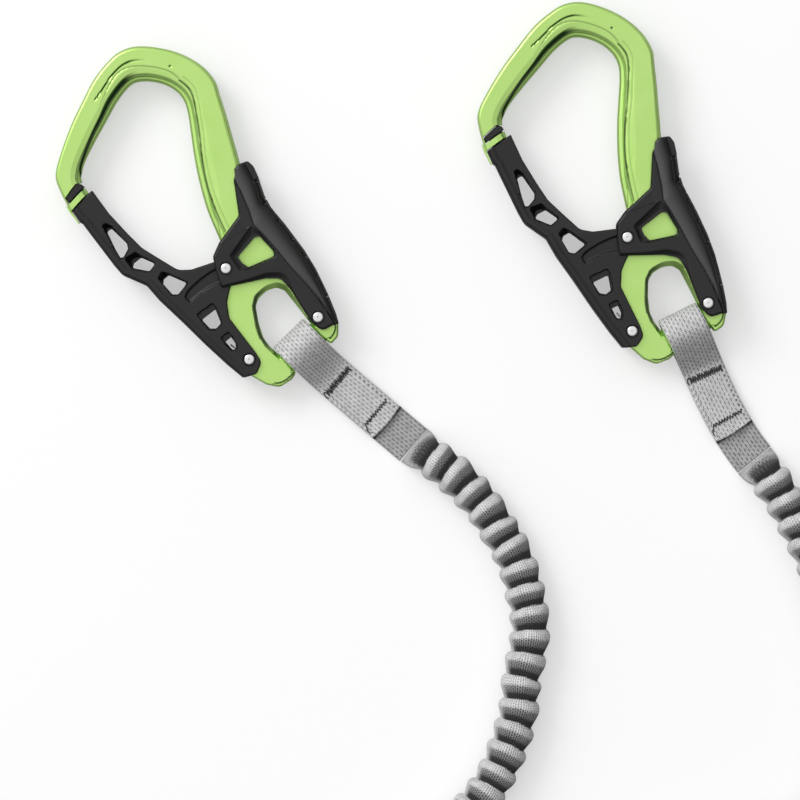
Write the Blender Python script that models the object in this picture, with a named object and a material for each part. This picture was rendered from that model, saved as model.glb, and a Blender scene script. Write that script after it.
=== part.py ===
"""Via ferrata lanyard: two squeeze-lever connectors on elastic arms that meet in a tear absorber.

The lanyard lies on a table, +Z up, and its base is at Z = 0. Each connector is drawn once in its own
frame: the gate's pivot is the origin, +Y runs up to the basket, +X points to the squeeze lever and the
middle of its thickness is Z = 0. The second connector is a turned copy of the first.
"""
import math

import bmesh
import bpy
import numpy as np
from mathutils import Matrix, Vector

# The connector's outline follows one size: from the gate's pivot up to the basket's inner straight.
REACH = 0.100
CLEARANCE = 0.0003
OVERRUN = 0.004

# Thickness, measured from the connector's middle plane.
BASKET_HALF = 0.0055
PLATE_HALF = 0.0038
GATE_HALF = 0.0063
GATE_TIP_HALF = 0.0050
LEVER_CHEEK = 0.0020
LEVER_HALF = GATE_HALF + CLEARANCE + LEVER_CHEEK
EDGE = 0.0005

# The bar under the tape, and the tape.
BAR_RADIUS = 0.0050
BAR_TURN = math.radians(10.0)
TAPE_WIDTH = 0.0158
TAPE_THICKNESS = 0.0016
TAPE_SLACK = 0.0009
TAPE_SIDE_PLAY = 0.0009
TAPE_BEND_RADIUS = BAR_RADIUS + TAPE_SLACK + TAPE_THICKNESS / 2

# Rivets and the lock pins.
RIVET_RADIUS = 0.0015
RIVET_HEAD_RADIUS = 0.0020
RIVET_HEAD_HEIGHT = 0.0007
RIVET_RECESS = 0.0011
PIN_RADIUS = 0.00125
PIN_PLAY = 0.0003
GROOVE_DEPTH = 0.0014

# The gate's swing and the lever's squeeze.
SQUEEZE = math.radians(5.0)
SWING = math.radians(25.0)

# The nose: the gate's T-shaped head hooks into a pocket of the body.
NOSE_RADIUS_SHARE = 0.862
NOSE_BAND = 0.0021
HEAD_DEPTH = 0.0032
HEAD_PLAY = 0.0004
HEAD_HALF = 0.0052
TONGUE_HALF = 0.0014
LIP = 0.0011
NOSE_INNER_ANGLE = 5.0
TONGUE_INNER_ANGLE = 12.4
POCKET_WALL_SHARE = 0.264
HEAD_WALL_SHARE = 0.260
TONGUE_WALL_SHARE = 0.250

# Springs.
WIRE_RADIUS = 0.00035
WIRE_SIDES = 5
SPRING_TURN_STEPS = 8
GATE_SPRING_RADIUS = 0.0026
GATE_SPRING_TURNS = 2
GATE_SPRING_POCKET = GATE_SPRING_RADIUS + WIRE_RADIUS + CLEARANCE
GATE_SPRING_FLOOR = 0.0008
LEVER_SPRING_RADIUS = 0.0015
LEVER_SPRING_TURNS = 4
LEVER_SPRING_DEPTH = 0.0022

# Where the connectors lie, and how each is turned.
LEFT_PIVOT = Vector((-0.05595, 0.01503))
LEFT_TURN = math.radians(31.5)
RIGHT_PIVOT = Vector((0.08634, 0.02556))
RIGHT_TURN = math.radians(20.25)
MIDDLE = LEVER_HALF

# Which way the tape runs, at equal steps along it, in degrees from the table's +X.
LEFT_TAPE_HEADINGS = (-45.5, -40.5, -40.5, -40.0)
RIGHT_TAPE_HEADINGS = (-63.5, -67.0, -61.5, -51.0)
TAPE_LENGTH = 0.0550
TOP_LAYER_LENGTH = 0.0426
TACK_PLACES = (0.0183, 0.0367)
TACK_LENGTH = 0.0130
TACK_WIDTH = 0.0022
TACK_HEIGHT = 0.0004

# The elastic arms, and the route of each across the table, in metres.
ARM_RADIUS = 0.0070
ARM_LIFT = ARM_RADIUS + CLEARANCE / 2
LEFT_ROUTE = (
    (0.0053, -0.0168), (0.0108, -0.0209), (0.0171, -0.0254), (0.0234, -0.0311), (0.0294, -0.0374),
    (0.0350, -0.0454), (0.0391, -0.0521), (0.0428, -0.0591), (0.0454, -0.0673), (0.0476, -0.0766),
    (0.0484, -0.0859), (0.0472, -0.0949), (0.0454, -0.1030), (0.0446, -0.1120), (0.0432, -0.1198),
    (0.0403, -0.1290), (0.0350, -0.1410), (0.0265, -0.1525), (0.0150, -0.1630), (0.0000, -0.1745),
    (-0.0150, -0.1850), (-0.0287, -0.1957), (-0.0373, -0.2079), (-0.0407, -0.2220), (-0.0384, -0.2350),
    (-0.0310, -0.2458), (-0.0203, -0.2527), (-0.0070, -0.2557), (0.0170, -0.2560), (0.0390, -0.2560),
    (0.0610, -0.2561), (0.0805, -0.2571), (0.0935, -0.2603), (0.1045, -0.2670), (0.1121, -0.2774),
    (0.1146, -0.2900), (0.1121, -0.3026), (0.1048, -0.3131), (0.0942, -0.3206), (0.0820, -0.3237),
    (0.0714, -0.3240),
)
RIGHT_ROUTE = (
    (0.1323, -0.0226), (0.1378, -0.0296), (0.1432, -0.0375), (0.1485, -0.0470), (0.1545, -0.0600),
    (0.1598, -0.0760), (0.1634, -0.0930), (0.1653, -0.1110), (0.1658, -0.1265), (0.1640, -0.1402),
    (0.1582, -0.1520), (0.1480, -0.1605), (0.1350, -0.1646), (0.1245, -0.1652), (0.1138, -0.1662),
    (0.1012, -0.1692), (0.0905, -0.1766), (0.0836, -0.1874), (0.0810, -0.2000), (0.0836, -0.2125),
    (0.0912, -0.2232), (0.1025, -0.2302), (0.1155, -0.2335), (0.1280, -0.2353), (0.1400, -0.2390),
    (0.1505, -0.2465), (0.1578, -0.2570), (0.1610, -0.2700), (0.1618, -0.2880), (0.1610, -0.3060),
    (0.1578, -0.3190), (0.1505, -0.3300), (0.1400, -0.3376), (0.1265, -0.3412), (0.1080, -0.3420),
    (0.0900, -0.3420), (0.0714, -0.3420),
)
ARM_POINTS = 46

# The absorber: a pouch round the folded tear webbing, with the yoke at its mouth.
POUCH_CENTRE = Vector((0.0000, -0.3330))
POUCH_LENGTH = 0.120
POUCH_WIDTH = 0.045
POUCH_HEIGHT = 0.022
POUCH_WALL = 0.0012
POUCH_CORNER = 0.007
YOKE_REACH = 0.0110
YOKE_THICKNESS = 0.0040
YOKE_WIDTH = 0.036
YOKE_TACK_WIDTH = 0.0288
TEAR_LAYERS = 7
TEAR_WIDTH = 0.034
TEAR_ROOM = 0.011
TEAR_LENGTH = POUCH_LENGTH - 2 * TEAR_ROOM
TEAR_THICKNESS = 0.0015
TEAR_PITCH = TEAR_THICKNESS + 2 * CLEARANCE
STRAP_START = TEAR_LENGTH / 2 + (TEAR_PITCH + TEAR_THICKNESS) / 2 + CLEARANCE
LOOP_WIDTH = 0.020
LOOP_THICKNESS = 0.0024
LOOP_REACH = 0.052
LOOP_EYE_RADIUS = 0.0085
LOOP_TACK_PLACES = (0.008, 0.018)
LOOP_TACK_WIDTH = 0.016

# The colours, roughness and metal of each finish.
GREEN = ((0.42, 0.66, 0.16, 1.0), 0.30, 0.6)
BLACK = ((0.028, 0.028, 0.028, 1.0), 0.50, 0.4)
NYLON = ((0.030, 0.030, 0.030, 1.0), 0.60, 0.0)
STEEL = ((0.75, 0.75, 0.75, 1.0), 0.25, 1.0)
WEBBING = ((0.50, 0.50, 0.50, 1.0), 0.90, 0.0)
THREAD = ((0.015, 0.015, 0.015, 1.0), 0.80, 0.0)
FABRIC = ((0.030, 0.030, 0.034, 1.0), 0.95, 0.0)

# Outlines, as shares of REACH. A third number rounds that corner, also as a share of REACH.
BASKET_INNER_SHARES = (
    (-0.183, 0.830), (-0.186, 0.892), (-0.166, 0.922), (-0.130, 0.953), (-0.060, 0.996), (0.018, 1.040),
    (0.080, 1.075), (0.136, 1.097), (0.173, 1.101), (0.208, 1.087), (0.243, 1.061), (0.273, 1.026),
    (0.292, 0.983), (0.294, 0.940), (0.280, 0.893), (0.254, 0.833), (0.220, 0.755), (0.192, 0.680),
    (0.170, 0.610), (0.153, 0.540), (0.137, 0.432),
)
BASKET_OUTER_SHARES = (
    (-0.281, 0.810), (-0.272, 0.910), (-0.256, 0.962), (-0.205, 1.014), (-0.115, 1.086), (-0.025, 1.145),
    (0.050, 1.190), (0.122, 1.217), (0.182, 1.228), (0.246, 1.214), (0.315, 1.167), (0.376, 1.103),
    (0.418, 1.028), (0.432, 0.955), (0.419, 0.894), (0.402, 0.825), (0.380, 0.746), (0.361, 0.678),
    (0.342, 0.622), (0.296, 0.550), (0.286, 0.430),
)
# Across the rod, from its inner edge to its outer one, and up, as shares of its half height.
SECTION_SHARES = (
    (0.00, 0.12), (0.05, 0.34), (0.12, 0.40), (0.19, 0.80), (0.41, 1.00), (0.91, 1.00), (0.97, 0.86),
    (1.00, 0.50),
)
PLATE_UPPER_SHARES = (
    (0.270, 0.500), (0.165, 0.500), (0.142, 0.435, 0.03), (0.126, 0.375, 0.04), (0.080, 0.320, 0.05),
    (0.007, 0.270, 0.04), (0.007, 0.060),
)
PLATE_HEEL_SHARES = ((-0.033, -0.042), (0.005, -0.112, 0.03), (0.042, -0.146, 0.03), (0.098, -0.143, 0.02))
PLATE_TOE_SHARES = (
    (0.288, -0.109, 0.01), (0.318, -0.098, 0.03), (0.346, -0.055, 0.03), (0.343, 0.040, 0.05),
    (0.332, 0.150, 0.10), (0.320, 0.300, 0.10), (0.280, 0.440, 0.05),
)
BOSS_RADIUS_SHARE = 0.050
EYE_UPPER_SHARES = (
    (0.074, 0.036, 0.06), (0.116, 0.186, 0.055), (0.246, 0.192, 0.045), (0.266, 0.000, 0.10),
)
BAR_CENTRE_SHARE = (0.190, -0.063)
LEVER_PIVOT_SHARE = (0.300, 0.000)
LOCK_PIN_SHARE = (0.103, 0.333)
GATE_SHARES = (
    (-0.176, 0.900), (-0.163, 0.740), (-0.142, 0.635), (-0.125, 0.565, 0.08), (-0.095, 0.505, 0.05),
    (-0.052, 0.422, 0.05), (-0.010, 0.398, 0.05), (0.072, 0.379), (0.124, 0.368, 0.02),
    (0.130, 0.292, 0.02), (0.090, 0.274, 0.02), (0.066, 0.252, 0.02), (0.040, 0.224, 0.04),
    (0.017, 0.170, 0.03), (0.034, 0.010, 0.03), (0.034, -0.032, 0.03), (-0.005, -0.060, 0.02),
    (-0.056, -0.045, 0.01), (-0.080, 0.025), (-0.110, 0.130), (-0.140, 0.250), (-0.170, 0.360),
    (-0.182, 0.432, 0.03), (-0.238, 0.512, 0.05), (-0.246, 0.560), (-0.260, 0.700), (-0.265, 0.754),
    (-0.271, 0.762), (-0.276, 0.900),
)
GATE_WINDOW_SHARES = (
    ((-0.200, 0.684, 0.008), (-0.183, 0.684, 0.008), (-0.163, 0.602, 0.012), (-0.173, 0.583, 0.010),
     (-0.211, 0.568, 0.006)),
    ((-0.196, 0.520, 0.006), (-0.172, 0.535, 0.010), (-0.148, 0.535, 0.008), (-0.113, 0.488, 0.006),
     (-0.148, 0.473, 0.010)),
    ((-0.124, 0.410, 0.010), (-0.094, 0.428, 0.010), (-0.049, 0.364, 0.006), (-0.105, 0.345, 0.010),
     (-0.118, 0.352, 0.006)),
    ((-0.080, 0.222, 0.006), (-0.008, 0.229, 0.006), (-0.020, 0.168, 0.012), (-0.045, 0.161, 0.010),
     (-0.066, 0.170, 0.010)),
    ((-0.044, 0.106, 0.004), (-0.013, 0.110, 0.004), (-0.014, 0.076, 0.008), (-0.022, 0.057, 0.005),
     (-0.036, 0.063, 0.006)),
)
CLEVIS_ANGLES = (22.8, 24.5, 10.0, 126.0)
CLEVIS_RADIUS_SHARES = (0.270, 0.353, 0.475)
LEVER_SHARES = (
    (0.312, 0.612, 0.010), (0.322, 0.633, 0.008), (0.346, 0.639, 0.008), (0.380, 0.632, 0.012),
    (0.388, 0.605, 0.015), (0.382, 0.560, 0.05), (0.359, 0.470, 0.12), (0.376, 0.360, 0.05),
    (0.387, 0.240, 0.05), (0.387, 0.160, 0.05), (0.377, 0.060, 0.05), (0.364, -0.020, 0.05),
    (0.352, -0.062, 0.008), (0.330, -0.053, 0.010), (0.288, -0.052, 0.025), (0.269, -0.010, 0.04),
    (0.266, 0.140, 0.05), (0.256, 0.195, 0.03), (0.210, 0.224, 0.05), (0.050, 0.280, 0.010),
    (0.066, 0.345, 0.03), (0.084, 0.396, 0.03), (0.130, 0.428, 0.05), (0.246, 0.476, 0.020),
    (0.298, 0.597, 0.03),
)
# The lip outside the gate's tip, and the side view of the gate's thinner tip.
LIP_SHARES = ((-0.2745, 0.765), (-0.2785, 0.850))
TIP_SLOPE_SHARES = (0.400, 0.620, 0.950)
# The gate spring's free leg, which bears on the gate's core, and its slot through the boss.
GATE_LEG_SHARES = ((-0.019, 0.048), (-0.031, 0.084))
GATE_LEG_SLOT_SHARES = ((-0.030, 0.012), (-0.030, 0.065), (-0.006, 0.065), (-0.008, 0.020))
LEVER_SPRING_SHARE = 0.300
LEVER_WINDOW_SHARES = (
    (0.162, 0.358, 0.010), (0.268, 0.396, 0.012), (0.291, 0.279, 0.012), (0.167, 0.300, 0.010),
)
# The lever's web joins its two cheeks along the grip, from near the pivot to below the top.
WEB_THICKNESS = 0.0012
WEB_END_SHARES = (0.050, 0.560)
# The soft grip strip lies on the web's back.
BACK_SHARES = (
    (0.381, 0.560), (0.371, 0.515), (0.361, 0.470), (0.367, 0.415), (0.376, 0.360), (0.3815, 0.300),
    (0.386, 0.240), (0.386, 0.160), (0.377, 0.070), (0.375, 0.050),
)
GRIP_END_SHARES = (0.085, 0.545)
GRIP_THICKNESS = 0.0008
GRIP_HALF = 0.0060
GRIP_GROOVES = 6
GRIP_GROOVE_WIDTH = 0.0010
GRIP_GROOVE_DEPTH = 0.0004

FILLET_STEPS = 2
ROUND_STEPS = 12
BASKET_STATIONS = 30


def clear_scene():
    for thing in list(bpy.data.objects):
        bpy.data.objects.remove(thing, do_unlink=True)


def finish(name, look):
    """A Principled material with its colour, roughness and metal."""
    colour, roughness, metal = look
    material = bpy.data.materials.new(name)
    material.use_nodes = True
    shader = material.node_tree.nodes["Principled BSDF"]
    shader.inputs["Base Color"].default_value = colour
    shader.inputs["Roughness"].default_value = roughness
    shader.inputs["Metallic"].default_value = metal
    return material


def scaled(shares):
    return [tuple(value * REACH for value in share) for share in shares]


def smooth_curve(points, count):
    """Points spread evenly along a Catmull-Rom curve through the given ones."""
    points = np.array(points, float)
    ends = np.vstack([2 * points[0] - points[1], points, 2 * points[-1] - points[-2]])
    fine = []
    for i in range(len(points) - 1):
        a, b, c, d = ends[i:i + 4]
        t = np.linspace(0, 1, 17)[:-1, None]
        fine.append(0.5 * (2 * b + (c - a) * t + (2 * a - 5 * b + 4 * c - d) * t**2
                           + (3 * b - a - 3 * c + d) * t**3))
    return spread(np.vstack(fine + [points[-1:]]), count)


def strip_curve(points, count):
    """Points spread evenly along the line of a thin springy strip bent through the given ones."""
    points = np.array(points, float)
    step = np.linalg.norm(np.diff(points, axis=0), axis=1)
    slope = np.diff(points, axis=0) / step[:, None]
    system = np.eye(len(points))
    bend = np.zeros_like(points)
    for i in range(1, len(points) - 1):
        system[i, i - 1:i + 2] = step[i - 1], 2 * (step[i - 1] + step[i]), step[i]
        bend[i] = 6 * (slope[i] - slope[i - 1])
    bend = np.linalg.solve(system, bend)
    fine = []
    for i, length in enumerate(step):
        t = np.linspace(0, length, 17)[:-1, None]
        fine.append(points[i] + (slope[i] - length * (2 * bend[i] + bend[i + 1]) / 6) * t
                    + bend[i] / 2 * t**2 + (bend[i + 1] - bend[i]) / (6 * length) * t**3)
    return spread(np.vstack(fine + [points[-1:]]), count)


def spread(fine, count):
    """Points spread evenly along a finely drawn line."""
    length = np.concatenate([[0], np.cumsum(np.linalg.norm(np.diff(fine, axis=0), axis=1))])
    even = np.linspace(0, length[-1], count)
    return np.stack([np.interp(even, length, fine[:, axis]) for axis in range(fine.shape[1])], axis=1)


def paired_curves(first, second, count):
    """Two curves through paired points, read at the same steps, so that their points stay pairs."""
    both = smooth_curve(np.hstack([np.array(first), np.array(second)]), count)
    return both[:, :2], both[:, 2:]


def rounded(corners):
    """A polygon whose corners, where they name a radius, are round."""
    points = []
    for i, corner in enumerate(corners):
        here = Vector(corner[:2])
        before = Vector(corners[i - 1][:2]) - here
        after = Vector(corners[(i + 1) % len(corners)][:2]) - here
        if len(corner) == 2:
            points.append(tuple(here))
            continue
        half = before.angle(after) / 2
        reach = min(corner[2] / math.tan(half), before.length * 0.45, after.length * 0.45)
        radius = reach * math.tan(half)
        start = here + before.normalized() * reach
        end = here + after.normalized() * reach
        centre = here + (before.normalized() + after.normalized()).normalized() * (radius / math.sin(half))
        for step in range(FILLET_STEPS + 1):
            t = step / FILLET_STEPS
            ray = (start - centre).lerp(end - centre, t)
            points.append(tuple(centre + ray.normalized() * radius))
    return points


def arc(centre, radius, start, end, steps):
    """Points along an arc, with its angles in degrees from +X."""
    angles = np.radians(np.linspace(start, end, steps + 1))
    return [(centre[0] + radius * math.cos(a), centre[1] + radius * math.sin(a)) for a in angles]


def polar(radius, left_of_up):
    """A point by its distance from the gate's pivot and its angle to the left of +Y."""
    angle = math.radians(left_of_up)
    return (-radius * math.sin(angle), radius * math.cos(angle))


def inset(outline, distance):
    """The outline moved inwards by a small distance, corner by corner."""
    points = np.array(outline)
    before = points - np.roll(points, 1, axis=0)
    after = np.roll(points, -1, axis=0) - points
    before /= np.linalg.norm(before, axis=1)[:, None]
    after /= np.linalg.norm(after, axis=1)[:, None]
    normal = np.stack([-(before + after)[:, 1], (before + after)[:, 0]], axis=1)
    normal /= np.linalg.norm(normal, axis=1)[:, None]
    lean = np.maximum(np.abs((normal * np.stack([-after[:, 1], after[:, 0]], axis=1)).sum(axis=1)), 0.5)
    return points + normal * (distance / lean)[:, None]


def anticlockwise(outline):
    points = np.array([point[:2] for point in outline])
    x, y = points[:, 0], points[:, 1]
    area = (x * np.roll(y, -1) - y * np.roll(x, -1)).sum()
    return points if area > 0 else points[::-1]


def mesh_of(name, points, faces):
    mesh = bpy.data.meshes.new(name)
    mesh.from_pydata([tuple(point) for point in points], [], faces)
    work = bmesh.new()
    work.from_mesh(mesh)
    bmesh.ops.recalc_face_normals(work, faces=work.faces)
    work.to_mesh(mesh)
    work.free()
    return mesh


def stacked(name, rings):
    """A closed body from a stack of rings with as many points each, capped at both ends."""
    count = len(rings[0])
    points = np.vstack(rings)
    faces = [tuple(range(count)), tuple(range((len(rings) - 1) * count, len(rings) * count))]
    for ring in range(len(rings) - 1):
        for i in range(count):
            j = (i + 1) % count
            a, b = ring * count, (ring + 1) * count
            faces.append((a + i, a + j, b + j, b + i))
    return mesh_of(name, points, faces)


def slab(name, outline, low, high, edge=0.0):
    """An outline extruded from low to high, with its edges chamfered."""
    outline = anticlockwise(outline)
    levels = [(0.0, low), (0.0, high)]
    if edge:
        levels = [(edge, low), (0.0, low + edge), (0.0, high - edge), (edge, high)]
    rings = []
    for depth, height in levels:
        ring = inset(outline, depth) if depth else outline
        rings.append(np.column_stack([ring, np.full(len(ring), height)]))
    return stacked(name, rings)


def turned(name, profile, steps=ROUND_STEPS):
    """A profile of (radius, height) turned about Z, with a pole at each end."""
    angles = np.linspace(0, 2 * math.pi, steps, endpoint=False)
    rings = [np.column_stack([r * np.cos(angles), r * np.sin(angles), np.full(steps, z)]) for r, z in profile]
    return stacked(name, rings)


def swept(name, centres, sides, ups, section):
    """A section of (side, up) points carried along a line of centres."""
    rings = [centre + np.outer(section[:, 0], side) + np.outer(section[:, 1], up)
             for centre, side, up in zip(centres, sides, ups)]
    return stacked(name, rings)


def helper(mesh):
    thing = bpy.data.objects.new(mesh.name, mesh)
    thing.hide_render = True
    thing.display_type = "WIRE"
    bpy.context.scene.collection.objects.link(thing)
    return thing


def combined(name, mesh, steps):
    """The mesh after a list of (operation, other mesh) Booleans."""
    body = helper(mesh)
    others = []
    for operation, other in steps:
        cutter = helper(other)
        others.append(cutter)
        modifier = body.modifiers.new(operation, "BOOLEAN")
        modifier.operation = operation
        modifier.solver = "EXACT"
        modifier.object = cutter
    graph = bpy.context.evaluated_depsgraph_get()
    result = bpy.data.meshes.new_from_object(body.evaluated_get(graph), depsgraph=graph)
    result.name = name
    for thing in [body] + others:
        bpy.data.objects.remove(thing, do_unlink=True)
    return result


def moved(mesh, offset):
    mesh.transform(Matrix.Translation(offset))
    return mesh


def at(share):
    return Vector((share[0] * REACH, share[1] * REACH, 0.0))


LEVER_PIVOT = at(LEVER_PIVOT_SHARE)
LOCK_PIN = at(LOCK_PIN_SHARE)
BAR_CENTRE = at(BAR_CENTRE_SHARE)
NOSE_RADIUS = NOSE_RADIUS_SHARE * REACH
POCKET_START = NOSE_RADIUS + NOSE_BAND
POCKET_END = POCKET_START + HEAD_DEPTH + 2 * HEAD_PLAY


def bar_point(along, across):
    """A point by its place along the bar and towards the basket from it."""
    c, s = math.cos(BAR_TURN), math.sin(BAR_TURN)
    return (BAR_CENTRE.x + along * c - across * s, BAR_CENTRE.y + along * s + across * c)


def ring_sector(name, inner, outer, start, wall, low, high):
    """A slab between two radii about the gate's pivot, from an angle left of +Y out to a wall."""
    near = [polar(inner, a) for a in np.linspace(start, math.degrees(math.asin(wall / inner)), 9)]
    far = [polar(outer, a) for a in np.linspace(math.degrees(math.asin(wall / outer)), start, 9)]
    return slab(name, near + far, low, high)


def basket_mesh():
    """The rod's section lofted along the basket: flat faces, a sloped inner band and round edges."""
    inner, outer = paired_curves(scaled(BASKET_INNER_SHARES), scaled(BASKET_OUTER_SHARES), BASKET_STATIONS)
    section = np.array(SECTION_SHARES)
    section = np.vstack([section, section[::-1] * (1, -1)])
    rings = []
    for a, b in zip(inner, outer):
        plan = a + np.outer(section[:, 0], b - a)
        rings.append(np.column_stack([plan, section[:, 1] * BASKET_HALF]))
    return stacked("basket", rings)


def plate_outline():
    """The plate round the tape's eye: it joins the basket's spine, the gate's boss and the two lobes."""
    shoulder = TAPE_WIDTH / 2 + TAPE_SIDE_PLAY
    strip = BAR_RADIUS / 3
    boss = arc((0.0, 0.0), BOSS_RADIUS_SHARE * REACH, 82, 220, 8)
    return rounded(
        scaled(PLATE_UPPER_SHARES) + boss + scaled(PLATE_HEEL_SHARES)
        + [bar_point(-shoulder, -strip), bar_point(shoulder, -strip)]
        + scaled(PLATE_TOE_SHARES)
    )


def eye_outline():
    shoulder = TAPE_WIDTH / 2 + TAPE_SIDE_PLAY
    strip = BAR_RADIUS / 3
    return rounded([bar_point(-shoulder, strip)] + scaled(EYE_UPPER_SHARES) + [bar_point(shoulder, strip)])


def bar_mesh():
    """The round bar that carries the tape, between the plate's two lobes."""
    half = TAPE_WIDTH / 2 + TAPE_SIDE_PLAY + EDGE
    taper = BAR_RADIUS / 4
    profile = [(BAR_RADIUS - taper, -half - taper), (BAR_RADIUS, -half), (BAR_RADIUS, half),
               (BAR_RADIUS - taper, half + taper)]
    mesh = turned("bar", profile)
    mesh.transform(Matrix.Translation(BAR_CENTRE) @ Matrix.Rotation(BAR_TURN, 4, "Z")
                   @ Matrix.Rotation(math.pi / 2, 4, "Y"))
    return mesh


def bore(centre, radius, low=-LEVER_HALF - OVERRUN, high=LEVER_HALF + OVERRUN):
    return moved(turned("bore", [(radius, low), (radius, high)]), centre)


def across(outline, position):
    """Where a line at this height meets the outline's outer side, as an x."""
    points = np.array([point[:2] for point in outline])
    order = np.argsort(points[:, 1])
    return float(np.interp(position, points[order, 1], points[order, 0]))


def lever_spring_frame():
    """The lever spring's own frame: its Z runs out of the plate's edge towards the lever's web."""
    height = LEVER_SPRING_SHARE * REACH
    edge = across(scaled(PLATE_TOE_SHARES)[3:], height)
    return Matrix.Translation((edge, height, 0.0)) @ Matrix.Rotation(math.pi / 2, 4, "Y")


def body_mesh():
    """The connector's body: basket, plate, bar and nose in one forging, with its bores and pockets."""
    lip = slab("lip", [(x, y) for x, y in scaled(LIP_SHARES)]
               + [(x - LIP, y) for x, y in reversed(scaled(LIP_SHARES))], -BASKET_HALF / 2, BASKET_HALF / 2)
    nose_end = ring_sector("nose_end", NOSE_RADIUS / 2, NOSE_RADIUS, 0, NOSE_RADIUS / 2, -LEVER_HALF,
                           LEVER_HALF)
    pocket = ring_sector("pocket", POCKET_START, POCKET_END, NOSE_INNER_ANGLE, POCKET_WALL_SHARE * REACH,
                         -LEVER_HALF, LEVER_HALF)
    tongue_room = TONGUE_HALF + CLEARANCE
    slot = ring_sector("slot", NOSE_RADIUS - NOSE_BAND / 4, POCKET_START + HEAD_PLAY, NOSE_INNER_ANGLE,
                       TONGUE_WALL_SHARE * REACH + CLEARANCE, -tongue_room, tongue_room)
    spring_pocket = bore(Vector((0, 0, 0)), GATE_SPRING_POCKET, GATE_SPRING_FLOOR, PLATE_HALF + OVERRUN)
    leg_slot = slab("leg_slot", scaled(GATE_LEG_SLOT_SHARES), GATE_SPRING_FLOOR, PLATE_HALF + OVERRUN)
    seat_radius = LEVER_SPRING_RADIUS + WIRE_RADIUS + CLEARANCE
    lever_seat = turned("lever_seat", [(seat_radius, -LEVER_SPRING_DEPTH), (seat_radius, OVERRUN)])
    lever_seat.transform(lever_spring_frame())
    return combined("connector_body", basket_mesh(), [
        ("DIFFERENCE", nose_end),
        ("UNION", slab("plate", plate_outline(), -PLATE_HALF, PLATE_HALF, EDGE)),
        ("DIFFERENCE", slab("eye", eye_outline(), -LEVER_HALF, LEVER_HALF)),
        ("UNION", bar_mesh()),
        ("UNION", lip),
        ("DIFFERENCE", pocket),
        ("DIFFERENCE", slot),
        ("DIFFERENCE", bore(Vector((0, 0, 0)), RIVET_RADIUS + CLEARANCE)),
        ("DIFFERENCE", bore(LEVER_PIVOT, RIVET_RADIUS + CLEARANCE)),
        ("DIFFERENCE", spring_pocket),
        ("DIFFERENCE", leg_slot),
        ("DIFFERENCE", lever_seat),
    ])


def clevis_outline():
    """The slot between the gate's cheeks: it takes the plate at every angle of the gate's swing."""
    low, middle, high, bottom = CLEVIS_ANGLES
    inner, outer, top = (share * REACH for share in CLEVIS_RADIUS_SHARES)
    boss = BOSS_RADIUS_SHARE * REACH + 2 * CLEARANCE
    far = 2 * boss
    return (
        [polar(top, a) for a in np.linspace(-45, high, 8)]
        + [polar(outer, a) for a in np.linspace(high, low, 3)]
        + [polar(inner, low), polar(inner, middle)]
        + [polar(boss, a) for a in np.linspace(middle, bottom, 9)]
        + [polar(far, bottom), polar(far, 190), polar(far, 240), polar(top, 265)]
    )


def pin_place(squeeze):
    """The lock pin's place in the gate's frame when the lever has turned and the gate has followed."""
    turned_lever = Matrix.Rotation(squeeze, 4, "Z") @ (LOCK_PIN - LEVER_PIVOT) + LEVER_PIVOT
    return Matrix.Rotation(squeeze * SWING / SQUEEZE, 4, "Z") @ turned_lever


def groove_outline():
    """The lock pin's groove: its outer wall drops to the open radius, its inner wall stays there."""
    reach = PIN_RADIUS + PIN_PLAY
    places = [pin_place(SQUEEZE * t) for t in np.linspace(0, 1, 9)]
    open_radius = places[-1].length
    angles = [math.degrees(math.atan2(-place.x, place.y)) for place in places]
    start = angles[0] - math.degrees(reach / places[0].length)
    end = angles[-1] + math.degrees(reach / open_radius)
    outer = [polar(places[0].length + reach, start)]
    outer += [polar(place.length + reach, a) for place, a in zip(places, angles)]
    outer += [polar(open_radius + reach / 2, end)]
    inner = [polar(open_radius - reach, a) for a in np.linspace(end, start, 9)]
    return outer + inner


def head_seats(centre, half):
    """The counterbores for a rivet's two heads."""
    for low, high in ((half - RIVET_RECESS, half + OVERRUN), (-half - OVERRUN, RIVET_RECESS - half)):
        yield ("DIFFERENCE", bore(centre, RIVET_HEAD_RADIUS + CLEARANCE, low, high))


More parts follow.
